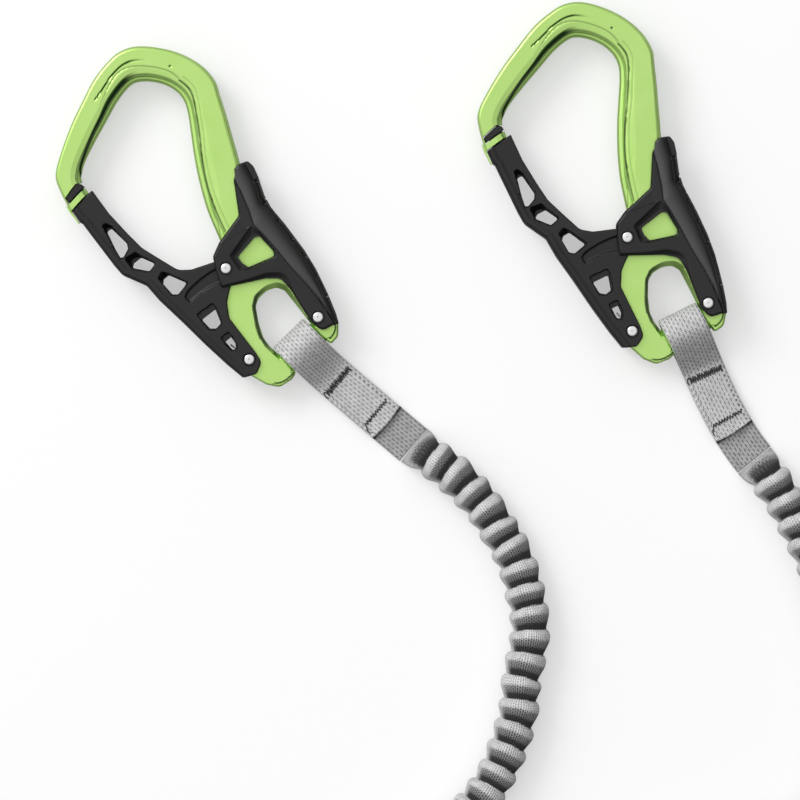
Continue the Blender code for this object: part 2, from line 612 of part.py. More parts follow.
def gate_mesh():
    """The gate: a ladder of windows, two cheeks round the plate, and the T-shaped head on its tongue."""
    reach = GATE_HALF + OVERRUN
    low, high, end = (share * REACH for share in TIP_SLOPE_SHARES)
    past_nose = ring_sector("past_nose", NOSE_RADIUS - CLEARANCE, REACH, 0, NOSE_RADIUS / 2, -reach, reach)
    steps = [("DIFFERENCE", past_nose)]
    for side in (1, -1):
        thinning = slab("thinning", [(low, side * GATE_HALF), (high, side * GATE_TIP_HALF),
                                     (end, side * GATE_TIP_HALF), (end, side * reach), (low, side * reach)],
                        -REACH, REACH)
        thinning.transform(Matrix(((0, 0, 1, 0), (1, 0, 0, 0), (0, 1, 0, 0), (0, 0, 0, 1))))
        steps.append(("DIFFERENCE", thinning))
    steps.append(("DIFFERENCE", slab("groove", groove_outline(), GATE_HALF - GROOVE_DEPTH, reach)))
    steps.append(("DIFFERENCE", slab("groove", groove_outline(), -reach, GROOVE_DEPTH - GATE_HALF)))
    for shares in GATE_WINDOW_SHARES:
        steps.append(("DIFFERENCE", slab("window", rounded(scaled(shares)), -reach, reach)))
    plate_room = PLATE_HALF + CLEARANCE
    steps.append(("DIFFERENCE", slab("clevis", clevis_outline(), -plate_room, plate_room)))
    steps.append(("DIFFERENCE", bore(Vector((0, 0, 0)), RIVET_RADIUS + CLEARANCE)))
    steps.extend(head_seats(Vector((0, 0, 0)), GATE_HALF))
    head_start = POCKET_START + HEAD_PLAY
    tongue = ring_sector("tongue", NOSE_RADIUS - NOSE_BAND, head_start + EDGE, TONGUE_INNER_ANGLE,
                         TONGUE_WALL_SHARE * REACH, -TONGUE_HALF, TONGUE_HALF)
    head = ring_sector("head", head_start, head_start + HEAD_DEPTH, TONGUE_INNER_ANGLE,
                       HEAD_WALL_SHARE * REACH, -HEAD_HALF, HEAD_HALF)
    steps += [("UNION", tongue), ("UNION", head)]
    return combined("gate", slab("gate", rounded(scaled(GATE_SHARES)), -GATE_HALF, GATE_HALF, EDGE), steps)


def back_strip(start, end, low, high):
    """A strip in plan along the lever's back, between two depths from it and two heights."""
    heights = np.linspace(low, high, 10)
    outer = [(across(scaled(BACK_SHARES), y) - start, y) for y in heights]
    inner = [(across(scaled(BACK_SHARES), y) - end, y) for y in heights[::-1]]
    return outer + inner


def hollow_outline():
    """What lies between the lever's cheeks: all of it but the web along the grip."""
    low, high = (share * REACH for share in WEB_END_SHARES)
    depth = GRIP_THICKNESS + CLEARANCE + WEB_THICKNESS
    web = [(across(scaled(BACK_SHARES), y) - depth, y) for y in np.linspace(low, high, 10)]
    right = REACH / 2
    top, bottom = REACH * 0.7, -REACH / 5
    return [(0.0, bottom), (right, bottom), (right, low)] + web + [(right, high), (right, top), (0.0, top)]


def lever_mesh():
    """The squeeze lever: two windowed cheeks joined by a web along the grip."""
    reach = LEVER_HALF + OVERRUN
    inside = GATE_HALF + CLEARANCE
    low, high = (share * REACH for share in GRIP_END_SHARES)
    seat = back_strip(-OVERRUN, GRIP_THICKNESS + CLEARANCE, low - CLEARANCE, high + CLEARANCE)
    steps = [
        ("DIFFERENCE", slab("hollow", hollow_outline(), -inside, inside)),
        ("DIFFERENCE", slab("window", rounded(scaled(LEVER_WINDOW_SHARES)), -reach, reach)),
        ("DIFFERENCE", slab("grip_seat", seat, -GRIP_HALF - CLEARANCE, GRIP_HALF + CLEARANCE)),
    ]
    for centre, radius in ((LEVER_PIVOT, RIVET_RADIUS), (LOCK_PIN, PIN_RADIUS)):
        steps.append(("DIFFERENCE", bore(centre, radius + CLEARANCE)))
        steps.extend(head_seats(centre, LEVER_HALF))
    lever = slab("lever", rounded(scaled(LEVER_SHARES)), -LEVER_HALF, LEVER_HALF, EDGE)
    return combined("squeeze_lever", lever, steps)


def grip_mesh():
    """The soft grip strip in the lever's back, with grooves across it."""
    low, high = (share * REACH for share in GRIP_END_SHARES)
    strip = slab("grip", back_strip(0.0, GRIP_THICKNESS, low, high), -GRIP_HALF, GRIP_HALF)
    steps = []
    half = GRIP_GROOVE_WIDTH / 2
    for height in np.linspace(low, high, GRIP_GROOVES + 2)[1:-1]:
        cut = back_strip(-OVERRUN, GRIP_GROOVE_DEPTH, height - half, height + half)
        steps.append(("DIFFERENCE", slab("groove", cut, -LEVER_HALF, LEVER_HALF)))
    return combined("lever_grip", strip, steps)


def rivet_mesh(name, centre, half):
    """A rivet with a domed head at each end, seated in its counterbores."""
    under = half - RIVET_RECESS + CLEARANCE
    crown = under + RIVET_HEAD_HEIGHT
    dome = RIVET_HEAD_HEIGHT / 3
    upper = [(RIVET_RADIUS, under), (RIVET_HEAD_RADIUS, under), (RIVET_HEAD_RADIUS, crown - dome),
             (RIVET_HEAD_RADIUS / 2, crown)]
    profile = [(r, -z) for r, z in reversed(upper)] + upper
    return moved(turned(name, profile), centre)


def pin_mesh(name):
    """A lock pin, riveted in a cheek of the lever: it reaches into the gate's groove."""
    under = LEVER_HALF - RIVET_RECESS + CLEARANCE
    crown = under + RIVET_HEAD_HEIGHT
    dome = RIVET_HEAD_HEIGHT / 3
    tip = GATE_HALF - GROOVE_DEPTH + CLEARANCE
    profile = [(PIN_RADIUS, tip), (PIN_RADIUS, under), (RIVET_HEAD_RADIUS, under),
               (RIVET_HEAD_RADIUS, crown - dome), (RIVET_HEAD_RADIUS / 2, crown)]
    pin = turned(name, profile)
    if name == "lower_lock_pin":
        pin.transform(Matrix.Rotation(math.pi, 4, "X"))
    return moved(pin, LOCK_PIN)


def wire_mesh(name, path):
    """A round wire along a path, with its section kept square to it."""
    path = np.array(path)
    tangent = np.gradient(path, axis=0)
    tangent /= np.linalg.norm(tangent, axis=1)[:, None]
    side = np.cross(tangent, (0.0, 0.0, 1.0))
    side /= np.linalg.norm(side, axis=1)[:, None]
    up = np.cross(side, tangent)
    angles = np.linspace(0, 2 * math.pi, WIRE_SIDES, endpoint=False)
    section = WIRE_RADIUS * np.column_stack([np.cos(angles), np.sin(angles)])
    return swept(name, path, side, up, section)


def coil_points(radius, turns, low, high, start, sense):
    """A helix about Z from low to high; sense is 1 for anticlockwise."""
    t = np.linspace(0, 1, turns * SPRING_TURN_STEPS + 1)
    angle = start + sense * 2 * math.pi * turns * t
    return np.column_stack([radius * np.cos(angle), radius * np.sin(angle), low + (high - low) * t])


def gate_spring_mesh():
    """The torsion spring round the gate's rivet, whose leg bears on the gate's core."""
    low = GATE_SPRING_FLOOR + CLEARANCE + WIRE_RADIUS
    high = PLATE_HALF - CLEARANCE - WIRE_RADIUS
    first_leg = Vector(at(GATE_LEG_SHARES[0]))
    lean = math.acos(GATE_SPRING_RADIUS / first_leg.length)
    leave = math.atan2(first_leg.y, first_leg.x) + lean
    coil = coil_points(GATE_SPRING_RADIUS, GATE_SPRING_TURNS, low, high, leave, -1)
    legs = [(x, y, high) for x, y in scaled(GATE_LEG_SHARES)]
    return wire_mesh("gate_spring", list(coil) + legs)


def lever_spring_mesh():
    """The coil between the plate's edge and the lever's web, which presses the lever out."""
    frame = lever_spring_frame()
    height = LEVER_SPRING_SHARE * REACH
    web = across(scaled(BACK_SHARES), height) - GRIP_THICKNESS - CLEARANCE - WEB_THICKNESS
    low = -LEVER_SPRING_DEPTH + CLEARANCE + WIRE_RADIUS
    high = web - frame.translation.x - CLEARANCE - WIRE_RADIUS
    mesh = wire_mesh("lever_spring", coil_points(LEVER_SPRING_RADIUS, LEVER_SPRING_TURNS, low, high, 0.0, 1))
    mesh.transform(frame)
    return mesh


def tape_track(bar, headings, places):
    """Places along the tape in plan: x, y and heading, from the bar's middle along the turning headings."""
    steps = np.linspace(0, TAPE_LENGTH, 56)
    heading = np.radians(np.interp(steps, np.linspace(0, TAPE_LENGTH, len(headings)), headings))
    stride = TAPE_LENGTH / (len(steps) - 1)
    x = bar[0] + np.concatenate([[0], np.cumsum(np.cos(heading[:-1]) * stride)])
    y = bar[1] + np.concatenate([[0], np.cumsum(np.sin(heading[:-1]) * stride)])
    places = np.array(places)
    angle = np.interp(places, steps, heading)
    behind = np.minimum(places, 0)
    return (np.interp(places, steps, x) + behind * math.cos(heading[0]),
            np.interp(places, steps, y) + behind * math.sin(heading[0]), angle)


def ribbon_mesh(name, bar, headings, profile, width, thickness):
    """A flat band along the tape's track: profile is (place along it, height) of its middle line."""
    profile = np.array(profile)
    x, y, angle = tape_track(bar, headings, profile[:, 0])
    centres = np.column_stack([x, y, profile[:, 1]])
    sides = np.column_stack([-np.sin(angle), np.cos(angle), np.zeros(len(angle))])
    run = np.gradient(profile, axis=0)
    run /= np.linalg.norm(run, axis=1)[:, None]
    ups = np.column_stack([-run[:, 1] * np.cos(angle), -run[:, 1] * np.sin(angle), run[:, 0]])
    half = np.array((width, thickness)) / 2
    return swept(name, centres, sides, ups, half * np.array(((-1, -1), (1, -1), (1, 1), (-1, 1))))


def loop_profile():
    """The tape's middle line from the side: down the top layer, round the bar and back underneath."""
    under = TAPE_THICKNESS / 2 + CLEARANCE / 2
    over = under + TAPE_THICKNESS + CLEARANCE
    top = MIDDLE + TAPE_BEND_RADIUS
    bottom = MIDDLE - TAPE_BEND_RADIUS
    ramp = TACK_PLACES[0] - TACK_WIDTH
    upper = [(ramp * t, over + (top - over) * (1 + math.cos(math.pi * t)) / 2)
             for t in np.linspace(0, 1, 9)]
    lower = [(ramp * t, under + (bottom - under) * (1 + math.cos(math.pi * t)) / 2)
             for t in np.linspace(0, 1, 7)]
    bend = [(-TAPE_BEND_RADIUS * math.sin(a), MIDDLE + TAPE_BEND_RADIUS * math.cos(a))
            for a in np.linspace(0, math.pi, 13)[1:-1]]
    far = [(place, over) for place in np.linspace(TOP_LAYER_LENGTH, ramp, 4)[:-1]]
    near = [(place, under) for place in np.linspace(ramp, TAPE_LENGTH, 6)[1:]]
    return far + upper[::-1] + bend + lower + near


def tack_mesh(name, bar, headings, place):
    """A sewn bar across the tape's layers."""
    height = TAPE_THICKNESS * 2 + CLEARANCE * 2.5 + TACK_HEIGHT / 2
    ends = [(place - TACK_WIDTH / 2, height), (place + TACK_WIDTH / 2, height)]
    return ribbon_mesh(name, bar, headings, ends, TACK_LENGTH, TACK_HEIGHT)


def pouch_mesh():
    """The absorber's pouch: a sleeve with a mouth for the yoke and a slot for the tie-in loop."""
    half = Vector((POUCH_LENGTH / 2, POUCH_WIDTH / 2))
    corners = [(half.x, half.y, POUCH_CORNER), (-half.x, half.y, POUCH_CORNER),
               (-half.x, -half.y, POUCH_CORNER), (half.x, -half.y, POUCH_CORNER)]
    outer = slab("pouch", rounded(corners), 0.0, POUCH_HEIGHT, POUCH_CORNER / 3)
    inner = Vector((half.x - POUCH_WALL - POUCH_CORNER / 3, half.y - POUCH_WALL - POUCH_CORNER / 3))
    room = slab("room", [(half.x + OVERRUN, -inner.y), (half.x + OVERRUN, inner.y), (-inner.x, inner.y),
                         (-inner.x, -inner.y)], POUCH_WALL, POUCH_HEIGHT - POUCH_WALL)
    slot_half = LOOP_THICKNESS + 1.5 * CLEARANCE
    slot = slab("slot", [(-half.x - OVERRUN, -LOOP_WIDTH / 2 - CLEARANCE), (0.0, -LOOP_WIDTH / 2 - CLEARANCE),
                         (0.0, LOOP_WIDTH / 2 + CLEARANCE), (-half.x - OVERRUN, LOOP_WIDTH / 2 + CLEARANCE)],
                POUCH_HEIGHT / 2 - slot_half, POUCH_HEIGHT / 2 + slot_half)
    return combined("absorber_pouch", outer, [("DIFFERENCE", room), ("DIFFERENCE", slot)])


def side_band(name, profile, width, thickness):
    """A band of webbing whose middle line is drawn in the pouch's side view, as (x, z)."""
    profile = np.array(profile)
    run = np.gradient(profile, axis=0)
    run /= np.linalg.norm(run, axis=1)[:, None]
    count = len(profile)
    centres = np.column_stack([profile[:, 0], np.zeros(count), profile[:, 1]])
    sides = np.tile((0.0, 1.0, 0.0), (count, 1))
    ups = np.column_stack([run[:, 1], np.zeros(count), -run[:, 0]])
    half = np.array((width, thickness)) / 2
    return swept(name, centres, sides, ups, half * np.array(((-1, -1), (1, -1), (1, 1), (-1, 1))))


def tear_mesh():
    """The tear webbing, folded to and fro in the pouch."""
    pitch = TEAR_PITCH
    low = POUCH_HEIGHT / 2 - pitch * (TEAR_LAYERS - 1) / 2
    half = TEAR_LENGTH / 2
    profile = []
    for layer in range(TEAR_LAYERS):
        z = low + pitch * layer
        sign = 1 if layer % 2 == 0 else -1
        profile += [(-sign * half, z), (0.0, z), (sign * half, z)]
        if layer < TEAR_LAYERS - 1:
            profile += [(sign * (half + pitch / 2 * math.sin(a)), z + pitch / 2 * (1 - math.cos(a)))
                        for a in np.linspace(0, math.pi, 7)[1:-1]]
    return side_band("tear_webbing", profile, TEAR_WIDTH, TEAR_THICKNESS)


def yoke_mesh():
    """The doubled strap to which both arms are sewn, at the pouch's mouth."""
    start = STRAP_START
    end = POUCH_LENGTH / 2 + YOKE_REACH
    half = YOKE_WIDTH / 2
    return slab("arm_yoke", [(start, -half), (end, -half), (end, half), (start, half)],
                POUCH_HEIGHT / 2 - YOKE_THICKNESS / 2, POUCH_HEIGHT / 2 + YOKE_THICKNESS / 2, EDGE)


def loop_mesh():
    """The tie-in loop: two layers out of the pouch's slot, open round an eye at the far end."""
    middle = POUCH_HEIGHT / 2
    apart = LOOP_THICKNESS / 2 + CLEARANCE / 2
    start = STRAP_START
    neck = POUCH_LENGTH / 2 + LOOP_TACK_PLACES[1] + TACK_WIDTH * 2
    centre = POUCH_LENGTH / 2 + LOOP_REACH - LOOP_EYE_RADIUS
    bend = LOOP_EYE_RADIUS + LOOP_THICKNESS / 2
    upper = [(-start, middle + apart), (-neck, middle + apart)]
    upper += [(-neck - (centre - neck) * t, middle + apart + (bend - apart) * (1 - math.cos(math.pi * t)) / 2)
              for t in (0.25, 0.5, 0.75)]
    arch = [(-centre - bend * math.sin(a), middle + bend * math.cos(a)) for a in np.linspace(0, math.pi, 13)]
    lower = [(x, 2 * middle - z) for x, z in reversed(upper)]
    return side_band("tie_in_loop", upper + arch + lower, LOOP_WIDTH, LOOP_THICKNESS)


def bar_mesh_across(name, place, width, height):
    """A sewn bar across a strap, on top of it."""
    half = TACK_WIDTH / 2
    return slab(name, [(place - half, -width / 2), (place + half, -width / 2), (place + half, width / 2),
                       (place - half, width / 2)], height, height + TACK_HEIGHT)


def arm_object(name, route, material):
    """An elastic arm: a round tube along the curve that its route leads."""
    points = strip_curve(route, ARM_POINTS)
    curve = bpy.data.curves.new(name, "CURVE")
    curve.dimensions = "3D"
    curve.bevel_depth = ARM_RADIUS
    curve.bevel_resolution = 2
    curve.use_fill_caps = True
    spline = curve.splines.new("POLY")
    spline.points.add(len(points) - 1)
    for place, point in zip(spline.points, points):
        place.co = (point[0], point[1], ARM_LIFT, 1.0)
    curve.materials.append(material)
    return bpy.data.objects.new(name, curve)


def put(thing, parent, place=(0.0, 0.0, 0.0)):
    bpy.context.scene.collection.objects.link(thing)
    thing.parent = parent
    thing.location = place
    return thing


def piece(name, mesh, material, parent, pivot=Vector((0, 0, 0))):
    """A named piece whose mesh is drawn in its connector's frame and whose origin is on its joint's axis."""
    own = mesh.copy()
    own.transform(Matrix.Translation(-pivot))
    own.materials.append(material)
    own.shade_smooth()
    own.set_sharp_from_angle(angle=math.radians(35))
    return put(bpy.data.objects.new(name, own), parent)


def connector(side, pivot, turn, meshes, looks, root):
    """One connector: its frame hangs on the bar, and the gate's and the lever's frames hang on it."""
    frame = Matrix.Translation((pivot.x, pivot.y, MIDDLE)) @ Matrix.Rotation(turn, 4, "Z")
    bar = put(bpy.data.objects.new(side + "_bar_axis", None), root)
    bar.matrix_local = frame @ Matrix.Translation(BAR_CENTRE)
    gate_axis = put(bpy.data.objects.new(side + "_gate_axis", None), bar, -BAR_CENTRE)
    lever_axis = put(bpy.data.objects.new(side + "_lever_axis", None), bar, LEVER_PIVOT - BAR_CENTRE)
    for name, look, parent, centre in (
        ("connector_body", "green", bar, BAR_CENTRE),
        ("gate_rivet", "steel", bar, BAR_CENTRE),
        ("lever_rivet", "steel", bar, BAR_CENTRE),
        ("gate_spring", "steel", bar, BAR_CENTRE),
        ("lever_spring", "steel", bar, BAR_CENTRE),
        ("gate", "black", gate_axis, Vector((0, 0, 0))),
        ("squeeze_lever", "black", lever_axis, LEVER_PIVOT),
        ("lever_grip", "nylon", lever_axis, LEVER_PIVOT),
        ("upper_lock_pin", "steel", lever_axis, LEVER_PIVOT),
        ("lower_lock_pin", "steel", lever_axis, LEVER_PIVOT),
    ):
        piece(side + "_" + name, meshes[name], looks[look], parent, centre)
    return frame @ BAR_CENTRE


def absorber(looks, root):
    """The absorber's pouch with what it holds, and the tie-in loop."""
    axis = put(bpy.data.objects.new("absorber_centre", None), root, (POUCH_CENTRE.x, POUCH_CENTRE.y, 0.0))
    piece("absorber_pouch", pouch_mesh(), looks["fabric"], axis)
    piece("tear_webbing", tear_mesh(), looks["webbing"], axis)
    piece("arm_yoke", yoke_mesh(), looks["fabric"], axis)
    piece("tie_in_loop", loop_mesh(), looks["webbing"], axis)
    middle = POUCH_HEIGHT / 2
    yoke_top = middle + YOKE_THICKNESS / 2 + CLEARANCE
    tack = bar_mesh_across("yoke_tack", POUCH_LENGTH / 2 + YOKE_REACH / 2, YOKE_TACK_WIDTH, yoke_top)
    piece("yoke_tack", tack, looks["thread"], axis)
    loop_top = middle + LOOP_THICKNESS + CLEARANCE * 1.5
    for number, place in enumerate(LOOP_TACK_PLACES, 1):
        name = f"tie_in_tack_{number}"
        piece(name, bar_mesh_across(name, -POUCH_LENGTH / 2 - place, LOOP_TACK_WIDTH, loop_top),
              looks["thread"], axis)


def centre_on_base(root, arms):
    """Moves the lanyard so that the box round all but its arms stands on the origin."""
    bpy.context.view_layer.update()
    corners = [thing.matrix_world @ vertex.co for thing in bpy.data.objects
               if thing.type == "MESH" and thing not in arms for vertex in thing.data.vertices]
    x = [corner.x for corner in corners]
    y = [corner.y for corner in corners]
    root.location = (-(min(x) + max(x)) / 2, -(min(y) + max(y)) / 2, 0.0)


def main():
    clear_scene()
    looks = {"green": finish("green_anodised_aluminium", GREEN),
             "black": finish("black_anodised_aluminium", BLACK),
             "nylon": finish("moulded_nylon", NYLON), "steel": finish("stainless_steel", STEEL),
             "webbing": finish("polyester_webbing", WEBBING), "thread": finish("sewing_thread", THREAD),
             "fabric": finish("pouch_fabric", FABRIC)}
    meshes = {
        "connector_body": body_mesh(),
        "gate": gate_mesh(),
        "squeeze_lever": lever_mesh(),
        "lever_grip": grip_mesh(),
        "gate_rivet": rivet_mesh("gate_rivet", Vector((0, 0, 0)), GATE_HALF),
        "lever_rivet": rivet_mesh("lever_rivet", LEVER_PIVOT, LEVER_HALF),
        "upper_lock_pin": pin_mesh("upper_lock_pin"),
        "lower_lock_pin": pin_mesh("lower_lock_pin"),
        "gate_spring": gate_spring_mesh(),
        "lever_spring": lever_spring_mesh(),
    }
    root = put(bpy.data.objects.new("lanyard", None), None)
    arms = []
    for side, pivot, turn, headings, route in (
        ("left", LEFT_PIVOT, LEFT_TURN, LEFT_TAPE_HEADINGS, LEFT_ROUTE),
        ("right", RIGHT_PIVOT, RIGHT_TURN, RIGHT_TAPE_HEADINGS, RIGHT_ROUTE),
    ):
        bar = connector(side, pivot, turn, meshes, looks, root)
        tape = ribbon_mesh(side + "_tape_loop", bar, headings, loop_profile(), TAPE_WIDTH, TAPE_THICKNESS)
        piece(side + "_tape_loop", tape, looks["webbing"], root)
        for number, place in enumerate(TACK_PLACES, 1):
            name = f"{side}_bar_tack_{number}"
            piece(name, tack_mesh(name, bar, headings, place), looks["thread"], root)
        arms.append(put(arm_object(side + "_elastic_arm", route, looks["webbing"]), root))
    absorber(looks, root)
    centre_on_base(root, arms)


main()
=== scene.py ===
# %% [markdown]
# # A via ferrata lanyard, dressed for a product picture
# The lanyard has two connectors that a climber clips to a steel cable. Each hangs on a short stitched tape,
# an elastic arm leads from the tape to an energy absorber, and a loop ties the absorber to the harness.
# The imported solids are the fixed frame: they give every place and every joint. This script lays fine
# surfaces over them and gives each one the finish of the real material.

# %% Load the frame
import math

import bpy
import numpy as np
from mathutils import Matrix


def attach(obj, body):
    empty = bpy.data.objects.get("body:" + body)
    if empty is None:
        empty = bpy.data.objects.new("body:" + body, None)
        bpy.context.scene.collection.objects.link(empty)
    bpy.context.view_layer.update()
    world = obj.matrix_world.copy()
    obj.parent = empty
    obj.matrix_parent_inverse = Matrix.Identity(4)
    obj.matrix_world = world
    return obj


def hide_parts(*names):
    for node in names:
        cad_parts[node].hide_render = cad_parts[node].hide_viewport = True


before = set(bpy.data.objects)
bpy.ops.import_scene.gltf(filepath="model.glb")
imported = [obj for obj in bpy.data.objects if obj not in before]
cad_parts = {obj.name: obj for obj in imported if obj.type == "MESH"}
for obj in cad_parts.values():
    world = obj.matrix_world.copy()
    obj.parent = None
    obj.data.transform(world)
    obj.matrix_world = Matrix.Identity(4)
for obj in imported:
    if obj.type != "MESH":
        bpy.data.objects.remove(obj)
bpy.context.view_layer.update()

# %% [markdown]
# ## Where things lie
# The picture was read in a drawing frame whose origin is the picture's middle. SHIFT takes a point of that
# frame to the frame that the solids share. All lengths are in metres.

# %% Places shared by all pieces
SHIFT = np.array((-0.005231, 0.103825))
PICTURE_WIDTH = 0.2976
MIDDLE = 0.0086


# %% [markdown]
# ## The camera
# The lanyard lies on a table and is seen straight from above. A long lens from 2.5 m keeps the connectors
# free of perspective, as in a catalogue picture.

# %% Camera
def add_camera(centre, width, distance, height):
    """A camera that looks straight down; the lens makes `width` fill the frame at the given height."""
    data = bpy.data.cameras.new("camera")
    data.sensor_width = 36.0
    data.lens = data.sensor_width * distance / width
    data.clip_end = 20.0
    camera = bpy.data.objects.new("camera", data)
    camera.location = (centre[0], centre[1], height + distance)
    bpy.context.scene.collection.objects.link(camera)
    bpy.context.scene.camera = camera
    return camera


camera = add_camera(SHIFT, PICTURE_WIDTH, distance=2.5, height=0.010)
bpy.context.scene.view_settings.view_transform = "Standard"
print("lens, mm:", round(camera.data.lens, 1))


# %% [markdown]
# ## Small helpers
# Colours are written as sRGB hex, as one reads them in a picture, and turned into the linear values that
# the renderer works with. One function adds a node with its settings and links, one a mesh object, and one
# says which body a piece moves with and which solids it stands in for.

# %% Colour, nodes and objects
def linear(code):
    """A hex sRGB colour as linear RGBA: values up to 0.04045 are divided by 12.92, the rest are curved."""
    values = [int(code[i:i + 2], 16) / 255 for i in (1, 3, 5)]
    return tuple(v / 12.92 if v <= 0.04045 else ((v + 0.055) / 1.055) ** 2.4 for v in values) + (1.0,)


def add_node(tree, kind, inputs=None, **settings):
    """A node of the given kind: settings name its properties, inputs gives each input a socket or a value."""
    node = tree.nodes.new(kind)
    for name, value in settings.items():
        setattr(node, name, value)
    for key, value in (inputs or {}).items():
        if isinstance(value, bpy.types.NodeSocket):
            tree.links.new(value, node.inputs[key])
        else:
            node.inputs[key].default_value = value
    return node


def new_material(name, **sockets):
    """A Principled material; the keywords set the shader's own sockets."""
    material = bpy.data.materials.new(name)
    material.use_nodes = True
    shader = material.node_tree.nodes["Principled BSDF"]
    for key, value in sockets.items():
        shader.inputs[key.replace("_", " ")].default_value = value
    return material, material.node_tree, shader


def new_object(name, points, faces, *materials):
    """A mesh object from points and faces, linked to the scene."""
    mesh = bpy.data.meshes.new(name)
    mesh.from_pydata(points, [], faces)
    for material in materials:
        mesh.materials.append(material)
    thing = bpy.data.objects.new(name, mesh)
    bpy.context.scene.collection.objects.link(thing)
    return thing


def dress(thing, body, slot, *nodes):
    """The piece moves with the body and stands in for the named solids; the slot is not used."""
    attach(thing, body)
    if nodes:
        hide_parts(*nodes)
    return thing


print("a mid grey is", round(linear("#808080")[0], 3))

# %% [markdown]
# ## Floor
# The picture's floor is paper white with soft shadows. A diffuse floor catches the shadows, and a little
# emission that only the camera sees lifts the lit part to white without putting more light on the object.

# %% Floor
FLOOR_REACH = 3.0
FLOOR_GLOW = 0.46

paper = bpy.data.materials.new("white_paper")
paper.use_nodes = True
tree = paper.node_tree
tree.nodes.remove(tree.nodes["Principled BSDF"])
seen = add_node(tree, "ShaderNodeLightPath").outputs["Is Camera Ray"]
lift = add_node(tree, "ShaderNodeMath", {0: seen, 1: FLOOR_GLOW}, operation="MULTIPLY")
glow = add_node(tree, "ShaderNodeEmission", {"Strength": lift.outputs[0], "Color": linear("#FFFFFF")})
matt = add_node(tree, "ShaderNodeBsdfDiffuse", {"Color": linear("#C8C8C8")})
both = add_node(tree, "ShaderNodeAddShader", {0: matt.outputs[0], 1: glow.outputs[0]})
tree.links.new(both.outputs[0], tree.nodes["Material Output"].inputs["Surface"])
corners = [(x * FLOOR_REACH, y * FLOOR_REACH, 0) for x, y in ((-1, -1), (1, -1), (1, 1), (-1, 1))]
floor = new_object("floor", corners, [(0, 1, 2, 3)], paper)
print("floor glow:", FLOOR_GLOW)

# %% [markdown]
# ## Light
# One big soft box stands low at the upper left, so that edges which face it are bright and shadows fall to
# the lower right. The world is a soft dome that is bright overhead and darker near the horizon at the
# lower right, which gives the metal its dark lines.

# %% Soft box and dome
def add_soft_box(name, place, target, size, watts):
    """A square area lamp at `place`, aimed at `target`."""
    data = bpy.data.lights.new(name, "AREA")
    data.shape = "SQUARE"
    data.size = size
    data.energy = watts
    lamp = bpy.data.objects.new(name, data)
    back = np.subtract(place, target)
    back /= np.linalg.norm(back)
    side = np.cross((0.0, 1.0, 0.0), back)
    side /= np.linalg.norm(side)
    turn = np.column_stack([side, np.cross(back, side), back])
    lamp.matrix_world = Matrix([(*row, at) for row, at in zip(turn, place)] + [(0, 0, 0, 1)])
    bpy.context.scene.collection.objects.link(lamp)


add_soft_box("key", place=(-1.15, 1.15, 1.25), target=(0.0, 0.05, 0.0), size=0.9, watts=17.0)

world = bpy.data.worlds.new("studio_dome")
bpy.context.scene.world = world
world.use_nodes = True
tree = world.node_tree
way = add_node(tree, "ShaderNodeTexCoord").outputs["Generated"]
# Rise towards the brightest part of the dome: from DIM below LOW it grows smoothly to BRIGHT above HIGH.
BRIGHTEST = (-0.42, 0.42, 0.95)
LOW, HIGH, DIM, BRIGHT = -0.1, 1.05, 0.06, 0.95
rise = add_node(tree, "ShaderNodeVectorMath", {0: way, 1: BRIGHTEST}, operation="DOT_PRODUCT")
level = add_node(tree, "ShaderNodeMapRange", {0: rise.outputs["Value"], 1: LOW, 2: HIGH, 3: DIM, 4: BRIGHT},
                 interpolation_type="SMOOTHSTEP")
dome = tree.nodes["Background"]
dome.inputs["Color"].default_value = linear("#FFFFFF")
tree.links.new(level.outputs[0], dome.inputs["Strength"])

# %% [markdown]
# ## Curves and tubes in numpy
# Both arms and every strap are a profile carried along a line. The line of an arm is the natural cubic
# spline that a thin springy strip takes through a few points, the same line that the solids follow.

# %% The springy strip's line
FINE_STEPS = 33  # between two given points of a curve


def smooth(low, high, value):
    """0 below low and 1 above high, with the cubic 3t^2 - 2t^3 between."""
    t = np.clip((value - low) / (high - low), 0, 1)
    return t * t * (3 - 2 * t)


def lengths_along(line):
    """The length from a line's start to each of its points."""
    return np.concatenate([[0], np.cumsum(np.linalg.norm(np.diff(line, axis=0), axis=1))])


def directions(line):
    """Unit vectors along a line, one at each of its points."""
    run = np.gradient(line, axis=0)
    return run / np.linalg.norm(run, axis=1)[:, None]


def spread(fine, count):
    """Points evenly spaced by length along a finely drawn line."""
    length = lengths_along(fine)
    even = np.linspace(0, length[-1], count)
    return np.stack([np.interp(even, length, values) for values in fine.T], axis=1)


def strip_curve(points, count):
    """Natural cubic spline over chord length: its second derivatives solve a three-banded system."""
    points = np.array(points, float)
    step = np.linalg.norm(np.diff(points, axis=0), axis=1)
    slope = np.diff(points, axis=0) / step[:, None]
    system = np.eye(len(points))
    inner = np.arange(1, len(points) - 1)
    system[inner, inner - 1] = step[:-1]
    system[inner, inner] = 2 * (step[:-1] + step[1:])
    system[inner, inner + 1] = step[1:]
    bend = np.zeros_like(points)
    bend[1:-1] = 6 * np.diff(slope, axis=0)
    bend = np.linalg.solve(system, bend)[:, None]
    t = np.linspace(0, 1, FINE_STEPS)[None, :-1, None] * step[:, None, None]
    length = step[:, None, None]
    fine = (points[:-1, None] + (slope[:, None] - length * (2 * bend[:-1] + bend[1:]) / 6) * t
            + bend[:-1] / 2 * t**2 + (bend[1:] - bend[:-1]) / (6 * length) * t**3)
    return spread(np.vstack([fine.reshape(-1, points.shape[1]), points[-1:]]), count)


print("a strip through three points:", strip_curve([(0, 0), (1, 1), (2, 0)], 5)[2].round(2))


